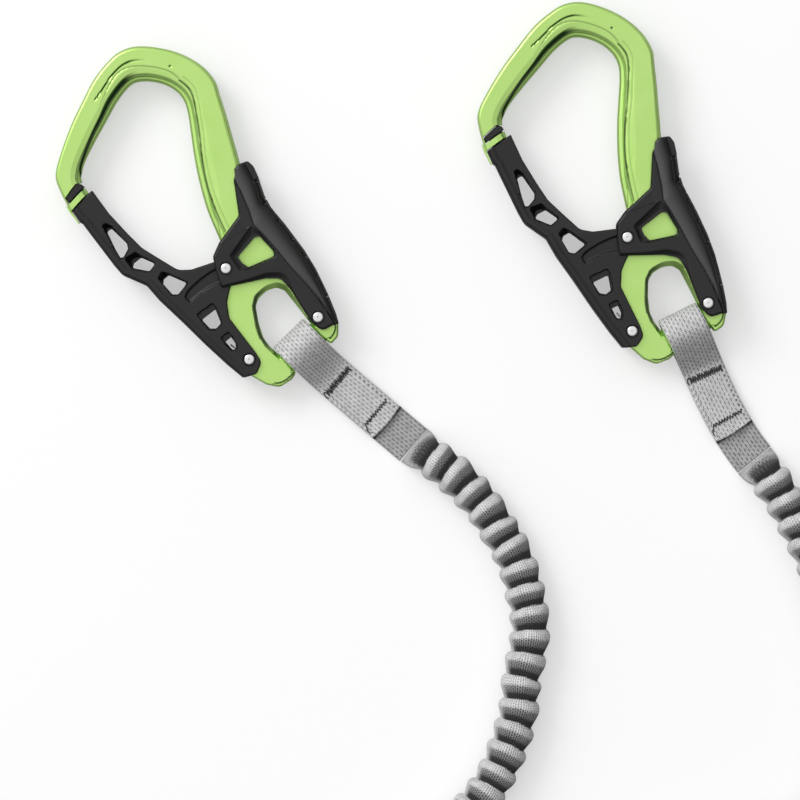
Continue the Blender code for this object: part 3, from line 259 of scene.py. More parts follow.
# %% Closed tubes
def tube_faces(rows, columns):
    """Faces of a grid that closes round its columns, and one face each over the first and the last row."""
    index = np.arange(rows * columns).reshape(rows, columns)
    turn = np.roll(index, -1, axis=1)
    quads = np.stack([index[:-1], index[1:], turn[1:], turn[:-1]], axis=-1).reshape(-1, 4)
    return quads.tolist() + [index[0].tolist(), index[-1][::-1].tolist()]


def surface(name, grid, material, uv=None, shade=None):
    """A closed tube: point (i, j) of the grid joins (i+1, j), (i+1, j+1) and (i, j+1)."""
    rows, columns = grid.shape[:2]
    thing = new_object(name, grid.reshape(-1, 3), tube_faces(rows, columns), material)
    mesh = thing.data
    if uv is not None:
        corner = np.empty(len(mesh.loops), int)
        mesh.loops.foreach_get("vertex_index", corner)
        values = uv.reshape(-1, 2)[corner]
        # The last strip of faces meets the first column, where the pattern has gone once round.
        strip = values[:(rows - 1) * columns * 4].reshape(rows - 1, columns, 4, 2)
        strip[:, -1, 2:, 1] = 2 * uv[0, -1, 1] - uv[0, -2, 1]
        mesh.uv_layers.new(name="UVMap").data.foreach_set("uv", values.ravel())
    if shade is not None:
        mesh.attributes.new("shade", "FLOAT", "POINT").data.foreach_set("value", shade.ravel())
    mesh.shade_smooth()
    return thing


def frames_along(line):
    """Side and up vectors at each point of a line: the side stays level, square to the way the line runs."""
    run = directions(line)
    side = np.cross((0.0, 0.0, 1.0), run)
    side /= np.linalg.norm(side, axis=1)[:, None]
    return side, np.cross(run, side)


print("faces of a tube of 3 rows and 8 columns:", len(tube_faces(3, 8)))

# %% [markdown]
# ## The woven polyester
# Tape and tube are woven from pale polyester yarn of about 1100 dtex, with black yarns that surface in
# rows. Close to, one sees columns of short dark dashes on pale ribs, every 1.3 mm on the tape and every
# 0.7 mm on the tube, staggered from one column to the next. The pattern reads the piece's own UV map,
# which is in metres, so the dashes keep their size and bend with the strap. Polyester is a dull plastic:
# IOR 1.6, roughness near 0.8.

# %% Woven material
def woven(name, pale, mid, column, dash, dash_width, dash_length, dash_amount, thread):
    """Pale ribs with staggered dark dashes, drawn with sums on u and v, both in metres.

    Column number = floor(v / column). A dash shows where the distance from the column's middle is under
    dash_width and the distance from the middle of u / dash, moved half a step in every other column, is
    under dash_length. Fine threads are sines of u and v. Both also give the bump. The attribute "shade" is
    painted shade, 1 in the crease of a fold: there more dark dashes show and the colour is darkened towards
    #141414. Each row of the table is one sum: the result's name, the operation and its terms, which are
    numbers or earlier results.
    """
    material, tree, shader = new_material(name, Roughness=0.8, IOR=1.6)
    uv = add_node(tree, "ShaderNodeSeparateXYZ", {0: add_node(tree, "ShaderNodeUVMap").outputs[0]}).outputs
    where = add_node(tree, "ShaderNodeTexCoord").outputs["Object"]
    cloud = add_node(tree, "ShaderNodeTexNoise",
                     {"Vector": where, "Scale": 420.0, "Detail": 2.0}).outputs["Fac"]
    shade = add_node(tree, "ShaderNodeAttribute", attribute_name="shade").outputs["Fac"]
    known = {"u": uv[0], "v": uv[1], "cloud": cloud, "shade": shade}
    for result, operation, *terms in (
        ("columns", "DIVIDE", "v", column),
        ("number", "FLOOR", "columns"),
        ("across", "FRACT", "columns"),
        ("across", "SUBTRACT", "across", 0.5),
        ("across", "ABSOLUTE", "across"),
        ("cloud half", "SUBTRACT", "cloud", 0.5),
        ("drift", "MULTIPLY", "cloud half", 0.5),
        ("dashes", "DIVIDE", "u", dash),
        ("stagger", "MULTIPLY", "number", 0.5),
        ("dashes", "ADD", "dashes", "stagger"),
        ("dashes", "ADD", "dashes", "drift"),
        ("step", "FRACT", "dashes"),
        ("step", "SUBTRACT", "step", 0.5),
        ("step", "ABSOLUTE", "step"),
        # Painted shade: where "shade" is high more dark dashes show, and "depth" darkens the colour.
        ("painted shade share", "MULTIPLY", "shade", 1 - dash_amount),
        ("amount", "ADD", "painted shade share", dash_amount),
        ("rib", "MULTIPLY", "v", 2 * math.pi / thread),
        ("rib", "SINE", "rib"),
        ("rib", "MULTIPLY", "rib", 0.30),
        ("weft", "MULTIPLY", "u", 2 * math.pi / (thread * 1.15)),
        ("weft", "SINE", "weft"),
        ("weft", "MULTIPLY", "weft", 0.18),
        ("grain", "ADD", "rib", "weft"),
        ("tone", "ADD", "grain", "cloud"),
        ("depth", "POWER", "shade", 1.6),
    ):
        inputs = {i: known.get(term, term) for i, term in enumerate(terms)}
        known[result] = add_node(tree, "ShaderNodeMath", inputs, operation=operation).outputs[0]
    in_column = add_node(tree, "ShaderNodeMapRange",
                         {0: known["across"], 1: dash_width + 0.07, 2: dash_width - 0.05}).outputs[0]
    in_dash = add_node(tree, "ShaderNodeMapRange",
                       {0: known["step"], 1: dash_length + 0.08, 2: dash_length - 0.06}).outputs[0]
    show = add_node(tree, "ShaderNodeMath", {0: in_column, 1: in_dash}, operation="MULTIPLY").outputs[0]
    show = add_node(tree, "ShaderNodeMath", {0: show, 1: known["amount"]}, operation="MULTIPLY").outputs[0]
    colour = add_node(tree, "ShaderNodeMapRange", {0: known["tone"], 1: 0.1, 2: 0.9}).outputs[0]
    # The last mix is painted shade: the colour falls towards #141414 as "shade" rises.
    for factor, first, second in ((colour, linear(mid), linear(pale)), (show, None, linear("#3A3A3A")),
                                  (known["depth"], None, linear("#141414"))):
        colour = add_node(tree, "ShaderNodeMix", {"Factor": factor, "A": first or colour, "B": second},
                          data_type="RGBA").outputs["Result"]
    tree.links.new(colour, shader.inputs["Base Color"])
    dent = add_node(tree, "ShaderNodeMath", {0: show, 1: 0.8}, operation="MULTIPLY").outputs[0]
    height = add_node(tree, "ShaderNodeMath", {0: known["grain"], 1: dent}, operation="SUBTRACT").outputs[0]
    bump = add_node(tree, "ShaderNodeBump", {"Height": height, "Strength": 0.8, "Distance": 0.0003})
    tree.links.new(bump.outputs[0], shader.inputs["Normal"])
    return material


tape_weave = woven("woven_polyester_tape", "#F0F0F0", "#BCBCBC", column=0.00132, dash=0.0021,
                   dash_width=0.11, dash_length=0.29, dash_amount=0.72, thread=0.00055)
tube_weave = woven("woven_polyester_tube", "#F2F2F2", "#B6B6B6", column=0.00072, dash=0.0012,
                   dash_width=0.24, dash_length=0.30, dash_amount=0.30, thread=0.00072)
print("weaves:", tape_weave.name, tube_weave.name)

# %% [markdown]
# ## The elastic arms
# Each arm is a flat tubular webbing with rubber cords inside that pull it into crosswise pleats: ridges
# about 8.6 mm apart that rise slowly and drop back steeply. The real thing is sewn flat at both ends.
# A tube carried along the strip's line does this: its radius is a lopsided wave of the length.

# %% Arm routes
LEFT_ROUTE = (
    (0.0053, -0.0168), (0.0108, -0.0209), (0.0171, -0.0254), (0.0234, -0.0311), (0.0294, -0.0374),
    (0.0350, -0.0454), (0.0391, -0.0521), (0.0428, -0.0591), (0.0454, -0.0673), (0.0476, -0.0766),
    (0.0484, -0.0859), (0.0472, -0.0949), (0.0454, -0.1030), (0.0446, -0.1120), (0.0432, -0.1198),
    (0.0403, -0.1290), (0.0350, -0.1410), (0.0265, -0.1525), (0.0150, -0.1630), (0.0000, -0.1745),
    (-0.0150, -0.1850), (-0.0287, -0.1957), (-0.0373, -0.2079), (-0.0407, -0.2220), (-0.0384, -0.2350),
    (-0.0310, -0.2458), (-0.0203, -0.2527), (-0.0070, -0.2557), (0.0170, -0.2560), (0.0390, -0.2560),
    (0.0610, -0.2561), (0.0805, -0.2571), (0.0935, -0.2603), (0.1045, -0.2670), (0.1121, -0.2774),
    (0.1146, -0.2900), (0.1121, -0.3026), (0.1048, -0.3131), (0.0942, -0.3206), (0.0820, -0.3237),
    (0.0714, -0.3240),
)
RIGHT_ROUTE = (
    (0.1323, -0.0226), (0.1378, -0.0296), (0.1432, -0.0375), (0.1485, -0.0470), (0.1545, -0.0600),
    (0.1598, -0.0760), (0.1634, -0.0930), (0.1653, -0.1110), (0.1658, -0.1265), (0.1640, -0.1402),
    (0.1582, -0.1520), (0.1480, -0.1605), (0.1350, -0.1646), (0.1245, -0.1652), (0.1138, -0.1662),
    (0.1012, -0.1692), (0.0905, -0.1766), (0.0836, -0.1874), (0.0810, -0.2000), (0.0836, -0.2125),
    (0.0912, -0.2232), (0.1025, -0.2302), (0.1155, -0.2335), (0.1280, -0.2353), (0.1400, -0.2390),
    (0.1505, -0.2465), (0.1578, -0.2570), (0.1610, -0.2700), (0.1618, -0.2880), (0.1610, -0.3060),
    (0.1578, -0.3190), (0.1505, -0.3300), (0.1400, -0.3376), (0.1265, -0.3412), (0.1080, -0.3420),
    (0.0900, -0.3420), (0.0714, -0.3420),
)
RIB_PITCH = 0.0086
RIB_COUNT = {"left": 59.5, "right": 58.3}
TUBE_ROUND = 0.0408  # the sleeve's width once round
# Heights of the middle line, and over what length the tube swells at the tape and flattens at the yoke.
TAPE_END, ON_TABLE, YOKE_END = 0.0012, 0.0071, 0.0110
GROWING, FADING = 0.0065, 0.016


# %% Pleated tubes
def arm_line(route, count):
    """The arm's middle line: along the route, rising from the tape to the tube's height and to the yoke."""
    plan = strip_curve(np.array(route) + SHIFT, count)
    along = lengths_along(plan)
    grow, fade = smooth(0, GROWING, along), smooth(0, FADING, along[-1] - along)
    height = np.where(along > along[-1] / 2, YOKE_END + (ON_TABLE - YOKE_END) * fade,
                      TAPE_END + (ON_TABLE - TAPE_END) * grow)
    return np.column_stack([plan, height]), along, grow, fade


def pleat(share):
    """0 in a crease and 1 on a ridge: a cosine of share^0.6, so it rises steeply and falls back slowly."""
    return (0.5 - 0.5 * np.cos(2 * np.pi * share**0.6)) ** 0.7


def arm_object(side, route, seed, around=44, steps=20):
    """Point at angle a: middle line + side * half width * cos a + up * half height * sin a."""
    line, along, grow, fade = arm_line(route, int(RIB_COUNT[side] * steps))
    across, up = frames_along(line)
    angle = np.linspace(0, 2 * np.pi, around, endpoint=False)[None, :]
    chance = np.random.default_rng(seed)
    knots = np.arange(int(along[-1] / RIB_PITCH) + 3)
    uneven = np.interp(along / RIB_PITCH, knots, chance.uniform(0.78, 1.0, len(knots)))[:, None]
    lean = np.interp(along / RIB_PITCH, knots, chance.uniform(-0.09, 0.09, len(knots)))[:, None]
    phase = 0.12 + 0.5 * lean + lean * np.cos(angle) + 0.03 * np.sin(3 * angle + seed)
    share = np.mod(along[:, None] / RIB_PITCH + phase, 1.0)
    ridge = pleat(share) * uneven
    ends = (grow * fade)[:, None]
    wide, tall = 0.0060 + 0.0019 * ridge, 0.0049 + 0.0022 * ridge
    flat = np.where(fade < 1, 0.0017, 0.0009)[:, None]  # half the flat end's height, at the yoke and the tape
    half_wide = 0.0078 + (wide - 0.0078) * ends
    half_tall = flat + (tall - flat) * ends
    soft = np.sign(np.cos(angle)) * np.abs(np.cos(angle)) ** 0.9
    grid = (line[:, None] + across[:, None] * (half_wide * soft)[..., None]
            + up[:, None] * (half_tall * np.sin(angle))[..., None])
    grid[..., 2] = np.maximum(grid[..., 2], 0.00016)
    uv = np.stack(np.broadcast_arrays(along[:, None], angle / (2 * np.pi) * TUBE_ROUND), axis=-1)
    # Painted shade: "shade" darkens a ridge's far flank and its crease, turned from the lamp, but not a thin
    # edge towards the lamp. The flat ends are darkened evenly.
    lit_edge = np.clip((np.cos(angle) + 0.97) / 0.25, 0, 1)
    fold = np.interp(share, [0, 0.32, 0.42, 0.66, 0.74, 0.98, 1], [0, 0, 0.66, 0.80, 0.98, 1, 0])
    pleated, plain = np.clip(1.5 * ends - 0.5, 0, 1), 1 - np.clip(1.5 * ends, 0, 1)
    fold = np.maximum(fold * lit_edge * pleated, 0.4 * plain)
    arm = surface(side + "_arm", grid, tube_weave, uv, fold)
    dress(arm, "webbing", "webbing", side + "_elastic_arm")
    print(side, "arm:", round(along[-1] * 1000), "mm,", len(arm.data.polygons), "faces")


arm_object("left", LEFT_ROUTE, 3)
arm_object("right", RIGHT_ROUTE, 8)

# %% [markdown]
# ## The connectors: how a forged and machined plate is drawn
# Body, gate and lever are flat parts with windows, ridges and bevelled edges. Subdivision modelling or
# sculpting could shape them, but a relief is more exact: a fine grid of cells fills the outline, the
# outermost points are moved onto it, and each point's height is a formula of its distances to the edges
# and crease lines. The underside mirrors the top, and a slot can run between the two cheeks.

# %% Distances in the plane
CHUNK = 20000  # points at a time, so that the tables of points by edges stay small


def inside(points, polygon):
    """Even-odd rule: inside where a ray towards +x crosses the polygon's edges an odd number of times."""
    polygon = np.asarray(polygon, float)
    found = np.empty(len(points), bool)
    a, b = polygon, np.roll(polygon, -1, axis=0)
    rise = np.where(a[:, 1] == b[:, 1], 1e-12, b[:, 1] - a[:, 1])
    for start in range(0, len(points), CHUNK):
        x, y = points[start:start + CHUNK, :2].T[..., None]
        spans = (a[:, 1] > y) != (b[:, 1] > y)
        left = x < a[:, 0] + (y - a[:, 1]) / rise * (b[:, 0] - a[:, 0])
        found[start:start + CHUNK] = (spans & left).sum(axis=1) % 2
    return found


def nearest(points, line, closed=False):
    """Distance to a polyline and the nearest point on it: each segment's parameter is cut to 0..1."""
    line = np.asarray(line, float)
    a, b = (line, np.roll(line, -1, axis=0)) if closed else (line[:-1], line[1:])
    run = b - a
    size = np.maximum((run**2).sum(axis=1), 1e-18)
    distance, foot = np.empty(len(points)), np.empty((len(points), 2))
    for start in range(0, len(points), CHUNK):
        part = points[start:start + CHUNK, None]
        t = np.clip(((part - a) * run).sum(axis=2) / size, 0, 1)
        on = a + t[..., None] * run
        away = ((part - on)**2).sum(axis=2)
        best = away.argmin(axis=1)
        rows = np.arange(len(best))
        distance[start:start + CHUNK] = np.sqrt(away[rows, best])
        foot[start:start + CHUNK] = on[rows, best]
    return distance, foot


def rounded(corners, steps=6):
    """A polygon whose corners, where they name a radius, are arcs tangent to both sides."""
    points = []
    for i, corner in enumerate(corners):
        here = np.array(corner[:2], float)
        if len(corner) == 2:
            points.append(here)
            continue
        before, after = (np.array(corners[k % len(corners)][:2]) - here for k in (i - 1, i + 1))
        far = np.linalg.norm(before), np.linalg.norm(after)
        before, after = before / far[0], after / far[1]
        half = math.acos(np.clip(before @ after, -1, 1)) / 2
        reach = min(corner[2] / math.tan(half), far[0] * 0.45, far[1] * 0.45)
        radius = reach * math.tan(half)
        centre = here + (before + after) / np.linalg.norm(before + after) * radius / math.sin(half)
        t = np.linspace(0, 1, steps + 1)[:, None]
        ray = (here + before * reach - centre) * (1 - t) + (here + after * reach - centre) * t
        points.extend(centre + ray / np.linalg.norm(ray, axis=1)[:, None] * radius)
    return np.array(points)


print("a point 3 mm inside a square:", inside(np.array([[3.0, 3.0]]), [(0, 0), (9, 0), (9, 9), (0, 9)])[0])


# %% Relief and slab
def relief(outline, holes, height, slot=None, slot_half=0.0, pitch=0.25):
    """Points and faces of a plate in millimetres, mirrored about its middle plane.

    Cells whose middle is inside the outline and outside the holes are kept. height(points) gives the top.
    Where slot(points) is true the plate is open between -slot_half and slot_half.
    """
    low, high = outline.min(axis=0) - pitch, outline.max(axis=0) + pitch
    xs, ys = (np.arange(low[k], high[k] + pitch, pitch) for k in (0, 1))
    columns = len(ys)
    nodes = np.stack(np.meshgrid(xs, ys, indexing="ij"), axis=-1).reshape(-1, 2)
    index = np.arange(len(nodes)).reshape(len(xs), columns)
    cells = np.stack([index[:-1, :-1], index[1:, :-1], index[1:, 1:], index[:-1, 1:]], axis=-1)
    middle = nodes[cells].mean(axis=2)
    flat = middle.reshape(-1, 2)
    keep = inside(flat, outline)
    for hole in holes:
        keep &= ~inside(flat, hole)
    keep = keep.reshape(cells.shape[:2])
    open_cell = keep & (slot(flat).reshape(keep.shape) if slot else False)
    count = np.bincount(cells[keep].ravel(), minlength=len(nodes))
    rim = np.flatnonzero((count > 0) & (count < 4))
    best, foot = nearest(nodes[rim], outline, closed=True)
    for hole in holes:
        away, on = nearest(nodes[rim], hole, closed=True)
        foot = np.where((away < best)[:, None], on, foot)
        best = np.minimum(best, away)
    nodes[rim] = np.where((best < 1.5 * pitch)[:, None], foot, nodes[rim])
    used = np.flatnonzero(count > 0)
    new = np.full(len(nodes), -1)
    new[used] = np.arange(len(used))
    plan = nodes[used]
    n = len(used)
    over = np.zeros(len(nodes), bool)
    over[cells[open_cell]] = True
    top = height(plan)
    top = np.where(over[used], np.maximum(top, slot_half + 0.2), np.maximum(top, 0.3))
    levels = (top, np.full(n, slot_half), np.full(n, -slot_half), -top)
    points = np.vstack([np.column_stack([plan, z]) for z in levels])
    quad, gap = new[cells[keep]], new[cells[open_cell]]
    faces = [quad, quad[:, ::-1] + 3 * n, gap[:, ::-1] + n, gap + 2 * n]
    # Walls: each side of a cell faces the neighbour at (dx, dy) and runs from corner p to corner q.
    for (dx, dy), (p, q) in (((0, -1), (0, 1)), ((1, 0), (1, 2)), ((0, 1), (2, 3)), ((-1, 0), (3, 0))):
        beside, beside_open = (np.pad(cell, 1)[1 + dx:1 + dx + len(cell), 1 + dy:columns + dy]
                               for cell in (keep, open_cell))
        edge = keep & ~beside
        a, b = new[cells[edge][:, p]], new[cells[edge][:, q]]
        solid = ~open_cell[edge]
        faces.append(np.column_stack([a, a + 3 * n, b + 3 * n, b])[solid])
        faces.append(np.column_stack([a, a + n, b + n, b])[~solid])
        faces.append(np.column_stack([a + 2 * n, a + 3 * n, b + 3 * n, b + 2 * n])[~solid])
        wall = open_cell & beside & ~beside_open
        a, b = new[cells[wall][:, p]], new[cells[wall][:, q]]
        faces.append(np.column_stack([b + n, b + 2 * n, a + 2 * n, a + n]))
    faces = np.vstack(faces)
    live = np.unique(faces)
    back = np.full(4 * n, -1)
    back[live] = np.arange(len(live))
    return points[live], back[faces]


def slab(outline, low, high, edge):
    """A closed prism in millimetres over an outline, with its top edge chamfered."""
    outline = np.asarray(outline, float)
    x, y = outline.T
    if (x * np.roll(y, -1) - y * np.roll(x, -1)).sum() < 0:
        outline = outline[::-1]
    centre = outline.mean(axis=0)
    rings = [(outline, low), (outline, high - edge), (centre + (outline - centre) * (1 - edge / 5), high)]
    n = len(outline)
    points = np.vstack([np.column_stack([ring, np.full(n, z)]) for ring, z in rings])
    faces = [list(range(n))[::-1], list(range(2 * n, 3 * n))]
    i, j = np.arange(n), np.roll(np.arange(n), -1)
    faces += np.vstack([np.column_stack([i + k, j + k, j + k + n, i + k + n]) for k in (0, n)]).tolist()
    return points, faces


print("corners of a slab over a triangle:", len(slab([(0, 0), (9, 0), (0, 9)], 0, 3, 0.3)[0]))

# %% [markdown]
# ## Putting a connector's parts on the table
# Each connector is drawn once, in millimetres, round its gate's pivot, and then turned and moved to its
# place. A part rides on the body that moves it and stands in for the plain solid.

# %% Connector frames
CONNECTORS = {
    "left": ((-0.05595, 0.01503), math.radians(31.5)),
    "right": ((0.08634, 0.02556), math.radians(20.25)),
}


def place(points, side):
    """Millimetres in the connector's frame as metres in the shared frame: turn, then move."""
    pivot, turn = CONNECTORS[side]
    c, s = math.cos(turn), math.sin(turn)
    x, y, z = (np.asarray(points, float) / 1000).T
    return np.column_stack([c * x - s * y + pivot[0] + SHIFT[0], s * x + c * y + pivot[1] + SHIFT[1],
                            z + MIDDLE])


def put_part(name, side, shapes, material, body, slot, nodes, sharp=32, line=None):
    """One object from several closed shapes, with smooth faces and sharp edges past an angle.

    line(points in millimetres) is kept as the attribute "line": 1 at the bottom of an engraved line and on
    painted shade, below 0 on a painted highlight.
    """
    points, faces, start = [], [], 0
    for shape_points, shape_faces in shapes:
        points.append(place(shape_points, side))
        faces += [[int(v) + start for v in face] for face in shape_faces]
        start += len(shape_points)
    thing = new_object(f"{side}_{name}", np.vstack(points), faces, material)
    mesh = thing.data
    if line:
        drawn = np.vstack([shape_points for shape_points, _ in shapes])
        mesh.attributes.new("line", "FLOAT", "POINT").data.foreach_set("value", line(drawn))
    mesh.shade_smooth()
    mesh.set_sharp_from_angle(angle=math.radians(sharp))
    return dress(thing, f"{side}_{body}", slot, *[f"{side}_{node}" for node in nodes])


# %% [markdown]
# ## Anodised aluminium, steel and nylon
# The body is hot-forged aluminium, tumbled and anodised lime green: a dyed oxide over bright metal gives a
# satin, coloured reflection. The gate and lever are black. Metallic parts keep the default IOR. Tumbling
# leaves a faint unevenness of about half a millimetre, drawn as a light bump and a slight change of tone.
# Rivets, lock pins and springs are polished stainless steel, and the lever's soft grip is moulded nylon.

# %% Finishes
def surface_finish(name, tone, second, line_and_painted_shade_tone, metallic, roughness, grain, strength):
    """Two close tones mixed by a soft noise, `line_and_painted_shade_tone` where the attribute "line" is 1,
    and a fine bump.

    Where "line" is 1 the colour is the dark tone: along the engraved lines, and as painted shade on walls
    turned from the light. Where "line" is below 0 a grey highlight is painted, in place of the lamp's
    reflection.
    """
    material, tree, shader = new_material(name, Metallic=metallic, Roughness=roughness)
    where = add_node(tree, "ShaderNodeTexCoord").outputs["Object"]
    cloud = add_node(tree, "ShaderNodeTexNoise",
                     {"Vector": where, "Scale": 90.0, "Detail": 3.0}).outputs["Fac"]
    line = add_node(tree, "ShaderNodeAttribute", attribute_name="line").outputs["Fac"]
    painted_highlight = add_node(tree, "ShaderNodeMath", {0: line, 1: -1.0}, operation="MULTIPLY").outputs[0]
    colour = linear(tone)
    # Painted shade in the dark tone where "line" is 1, and a painted grey highlight where it is below 0.
    for factor, other in ((cloud, second), (line, line_and_painted_shade_tone), (painted_highlight, "#787878")):
        colour = add_node(tree, "ShaderNodeMix", {"Factor": factor, "A": colour, "B": linear(other)},
                          data_type="RGBA").outputs["Result"]
    tree.links.new(colour, shader.inputs["Base Color"])
    fine = add_node(tree, "ShaderNodeTexNoise",
                    {"Vector": where, "Scale": 1 / grain, "Detail": 2.0}).outputs["Fac"]
    bump = add_node(tree, "ShaderNodeBump", {"Height": fine, "Strength": strength, "Distance": 0.0002})
    tree.links.new(bump.outputs[0], shader.inputs["Normal"])
    return material


# 163808 is the dark green of the engraved lines and of the painted shade.
green = surface_finish("green_anodised_aluminium", "#B6E078", "#C4E88C", "#163808",
                       metallic=0.80, roughness=0.34, grain=0.0006, strength=0.10)
black = surface_finish("black_anodised_aluminium", "#181818", "#212121", "#070707",
                       metallic=0.30, roughness=0.36, grain=0.0004, strength=0.16)
steel = surface_finish("polished_stainless_steel", "#E4E4E4", "#F0F0F0", "#808080",
                       metallic=1.0, roughness=0.16, grain=0.0008, strength=0.03)
nylon = surface_finish("moulded_glass_filled_nylon", "#161616", "#1E1E1E", "#070707",
                       metallic=0.0, roughness=0.46, grain=0.0005, strength=0.20)
print("finishes:", green.name, black.name, steel.name, nylon.name)

# %% [markdown]
# ## The gate
# The gate is cast or machined from one bar: a rounded rail on its outer side, a ladder of windows whose
# upper ends are scooped out, and a T-shaped head that hooks into the nose. Outlines are in millimetres from
# the gate's rivet. Each window has its through hole and, at face level, a wider rim; the face falls between
# the two as 7 (a / (a + b))^0.7, with a the distance to the rim and b the distance to the hole.

# %% Gate outline and windows
GATE_OUTLINE = rounded([
    (-17.1, 84.2), (-16.3, 74.0), (-14.2, 63.5), (-12.5, 56.5, 8), (-9.5, 50.5, 5), (-5.2, 42.2, 5),
    (-1.0, 39.8, 5), (7.2, 37.9), (12.4, 36.8, 2), (13.0, 29.2, 2), (9.0, 27.4, 2), (6.6, 25.2, 2),
    (4.0, 22.4, 4), (1.7, 17.0, 3), (3.4, 1.0, 3), (3.4, -3.2, 3), (-0.5, -6.0, 2), (-5.6, -4.5, 1),
    (-8.0, 2.5), (-11.0, 13.0), (-14.0, 25.0), (-17.0, 36.0), (-18.2, 43.2, 3), (-23.8, 51.2, 5),
    (-24.6, 56.0), (-26.0, 70.0), (-26.5, 75.4), (-27.1, 76.2), (-27.45, 81.4), (-22.5, 82.9),
])
GATE_RAIL = [(-5.6, -4.5), (-8.0, 2.5), (-11.0, 13.0), (-14.0, 25.0), (-17.0, 36.0), (-18.2, 43.2),
             (-21.0, 47.2), (-23.8, 51.2), (-24.6, 56.0), (-26.0, 70.0), (-26.5, 75.4), (-27.1, 76.2),
             (-27.45, 81.4)]
GATE_HOLES = [
    [(-20.4, 68.2, 0.8), (-18.4, 68.4, 0.8), (-16.4, 60.7, 1), (-17.1, 58.8, 1), (-20.0, 57.1, 1),
     (-21.2, 57.3, 0.6), (-21.1, 61.4)],
    [(-19.3, 51.8, 0.6), (-17.9, 53.0, 1), (-14.6, 53.4, 0.8), (-11.4, 48.8, 0.6), (-14.6, 47.5, 1)],
    [(-12.7, 40.7, 0.8), (-11.8, 42.0, 0.8), (-9.3, 42.5, 0.8), (-5.0, 36.4, 0.6), (-10.0, 34.6, 1),
     (-11.8, 35.7, 0.6)],
    [(-7.5, 22.0, 0.6), (-1.0, 22.7, 0.6), (-2.0, 17.0, 1), (-4.5, 16.3, 1), (-6.5, 17.5, 1)],
    [(-4.3, 10.5, 0.4), (-1.5, 10.8, 0.4), (-1.3, 8.0, 0.6), (-2.2, 5.8, 0.5), (-3.5, 6.5, 0.6)],
]
GATE_RIMS = [
    [(-20.7, 71.1, 0.8), (-19.3, 71.4, 0.8), (-17.7, 69.0), (-15.8, 60.6, 1), (-16.7, 58.3, 1),
     (-20.0, 56.4, 1), (-21.8, 56.8, 0.6), (-21.8, 61.4)],
    [(-20.0, 56.4, 1), (-15.4, 56.4, 1), (-14.0, 53.8, 0.8), (-10.8, 48.7, 0.6), (-14.7, 46.8, 1),
     (-19.9, 51.4, 0.6)],
    [(-13.3, 43.6, 1), (-10.7, 45.0, 1), (-8.9, 43.0), (-4.3, 36.2, 0.6), (-9.9, 33.9, 1),
     (-12.3, 35.3, 0.6)],
    [(-8.1, 24.6, 0.8), (-0.5, 25.1, 0.8), (-0.4, 22.7), (-1.4, 16.6, 1), (-4.5, 15.6, 1), (-7.1, 17.1, 1)],
    [(-4.7, 12.6, 0.6), (-1.1, 12.9, 0.6), (-0.7, 8.0, 0.6), (-2.0, 5.2, 0.6), (-4.0, 6.1, 0.6),
     (-4.9, 10.5)],
]
# The lock pin's groove and the room between the two cheeks, where the body's plate swings.
PIN_GROOVE = [(12.3, 34.3), (10.8, 34.8), (8.5, 35.1), (4.0, 35.2), (-0.5, 34.8), (-4.8, 33.9),
              (-6.8, 33.2), (-8.2, 32.1), (-7.7, 29.8), (-3.1, 30.6), (1.4, 30.8), (6.0, 30.2), (10.4, 29.0)]
GATE_CHEEKS = [(33.6, 33.6), (23.2, 41.4), (11.2, 46.2), (4.7, 47.3), (-1.8, 47.5), (-8.3, 46.8),
               (-6.1, 34.8), (-13.7, 32.5), (-10.5, 24.9), (-11.2, 24.6), (-2.3, 5.1), (-4.3, 3.6),
               (-5.4, 1.4), (-5.5, -1.0), (-4.5, -3.3), (-9.1, -6.6), (1.9, -11.0), (9.7, -5.6),
               (47.3, -4.1)]
GATE_HALF, CHEEK_GAP_HALF, HEAD_HALF, TONGUE_HALF = 6.3, 4.1, 5.2, 1.4
SCOOP_DEPTH = 7.0
GATE_RIVET, LEVER_RIVET, LOCK_PIN = (0.0, 0.0), (30.0, 0.0), (10.3, 33.3)
COUNTERBORE = 2.35  # radius of the sunk ring in which a rivet or a pin sits


# %% Gate surface
def scoop(points, z, rims, holes, depth):
    """The face falls from each rim towards its hole as depth * (a / (a + b))^0.7."""
    for rim, hole in zip(rims, holes):
        within = np.flatnonzero(inside(points, rim))
        a = nearest(points[within], rim, closed=True)[0]
        b = nearest(points[within], hole, closed=True)[0]
        z[within] -= depth * (a / (a + b + 1e-9)) ** 0.7
    return z


def sunk(points, z, centre, level):
    """The face within a counterbore's ring, lowered to its level."""
    return np.where(np.hypot(*(points - centre).T) < COUNTERBORE, np.minimum(z, level), z)


def gate_height(points):
    """6.3 mm to y 40, thinning to 5.0 mm at y 62, with a rounded rail, round edges, scoops and a groove."""
    y = points[:, 1]
    z = GATE_HALF - 1.3 * np.clip((y - 40) / 22, 0, 1)
    edge = nearest(points, GATE_OUTLINE, closed=True)[0]
    rail = nearest(points, GATE_RAIL)[0]
    z += np.interp(rail, [0, 0.35, 0.8, 1.2, 1.7, 2.3, 3.2], [-1.3, -0.75, -0.22, -0.05, 0, -0.08, -0.42])
    z -= np.where(edge < rail - 0.05, 0.5 * (1 - np.sqrt(1 - np.clip(1 - edge / 0.6, 0, 1) ** 2)), 0)
    z = scoop(points, z, gate_rims, gate_holes, SCOOP_DEPTH)
    lip = nearest(points, PIN_GROOVE, closed=True)[0]
    in_groove = inside(points, PIN_GROOVE)
    z = np.where(in_groove, np.minimum(z, 4.9 + 0.2 * (1 - smooth(0, 0.5, lip))), z)
    z -= 0.30 * (1 - smooth(0.0, 0.45, lip)) * ~in_groove
    return sunk(points, z, GATE_RIVET, 5.2)


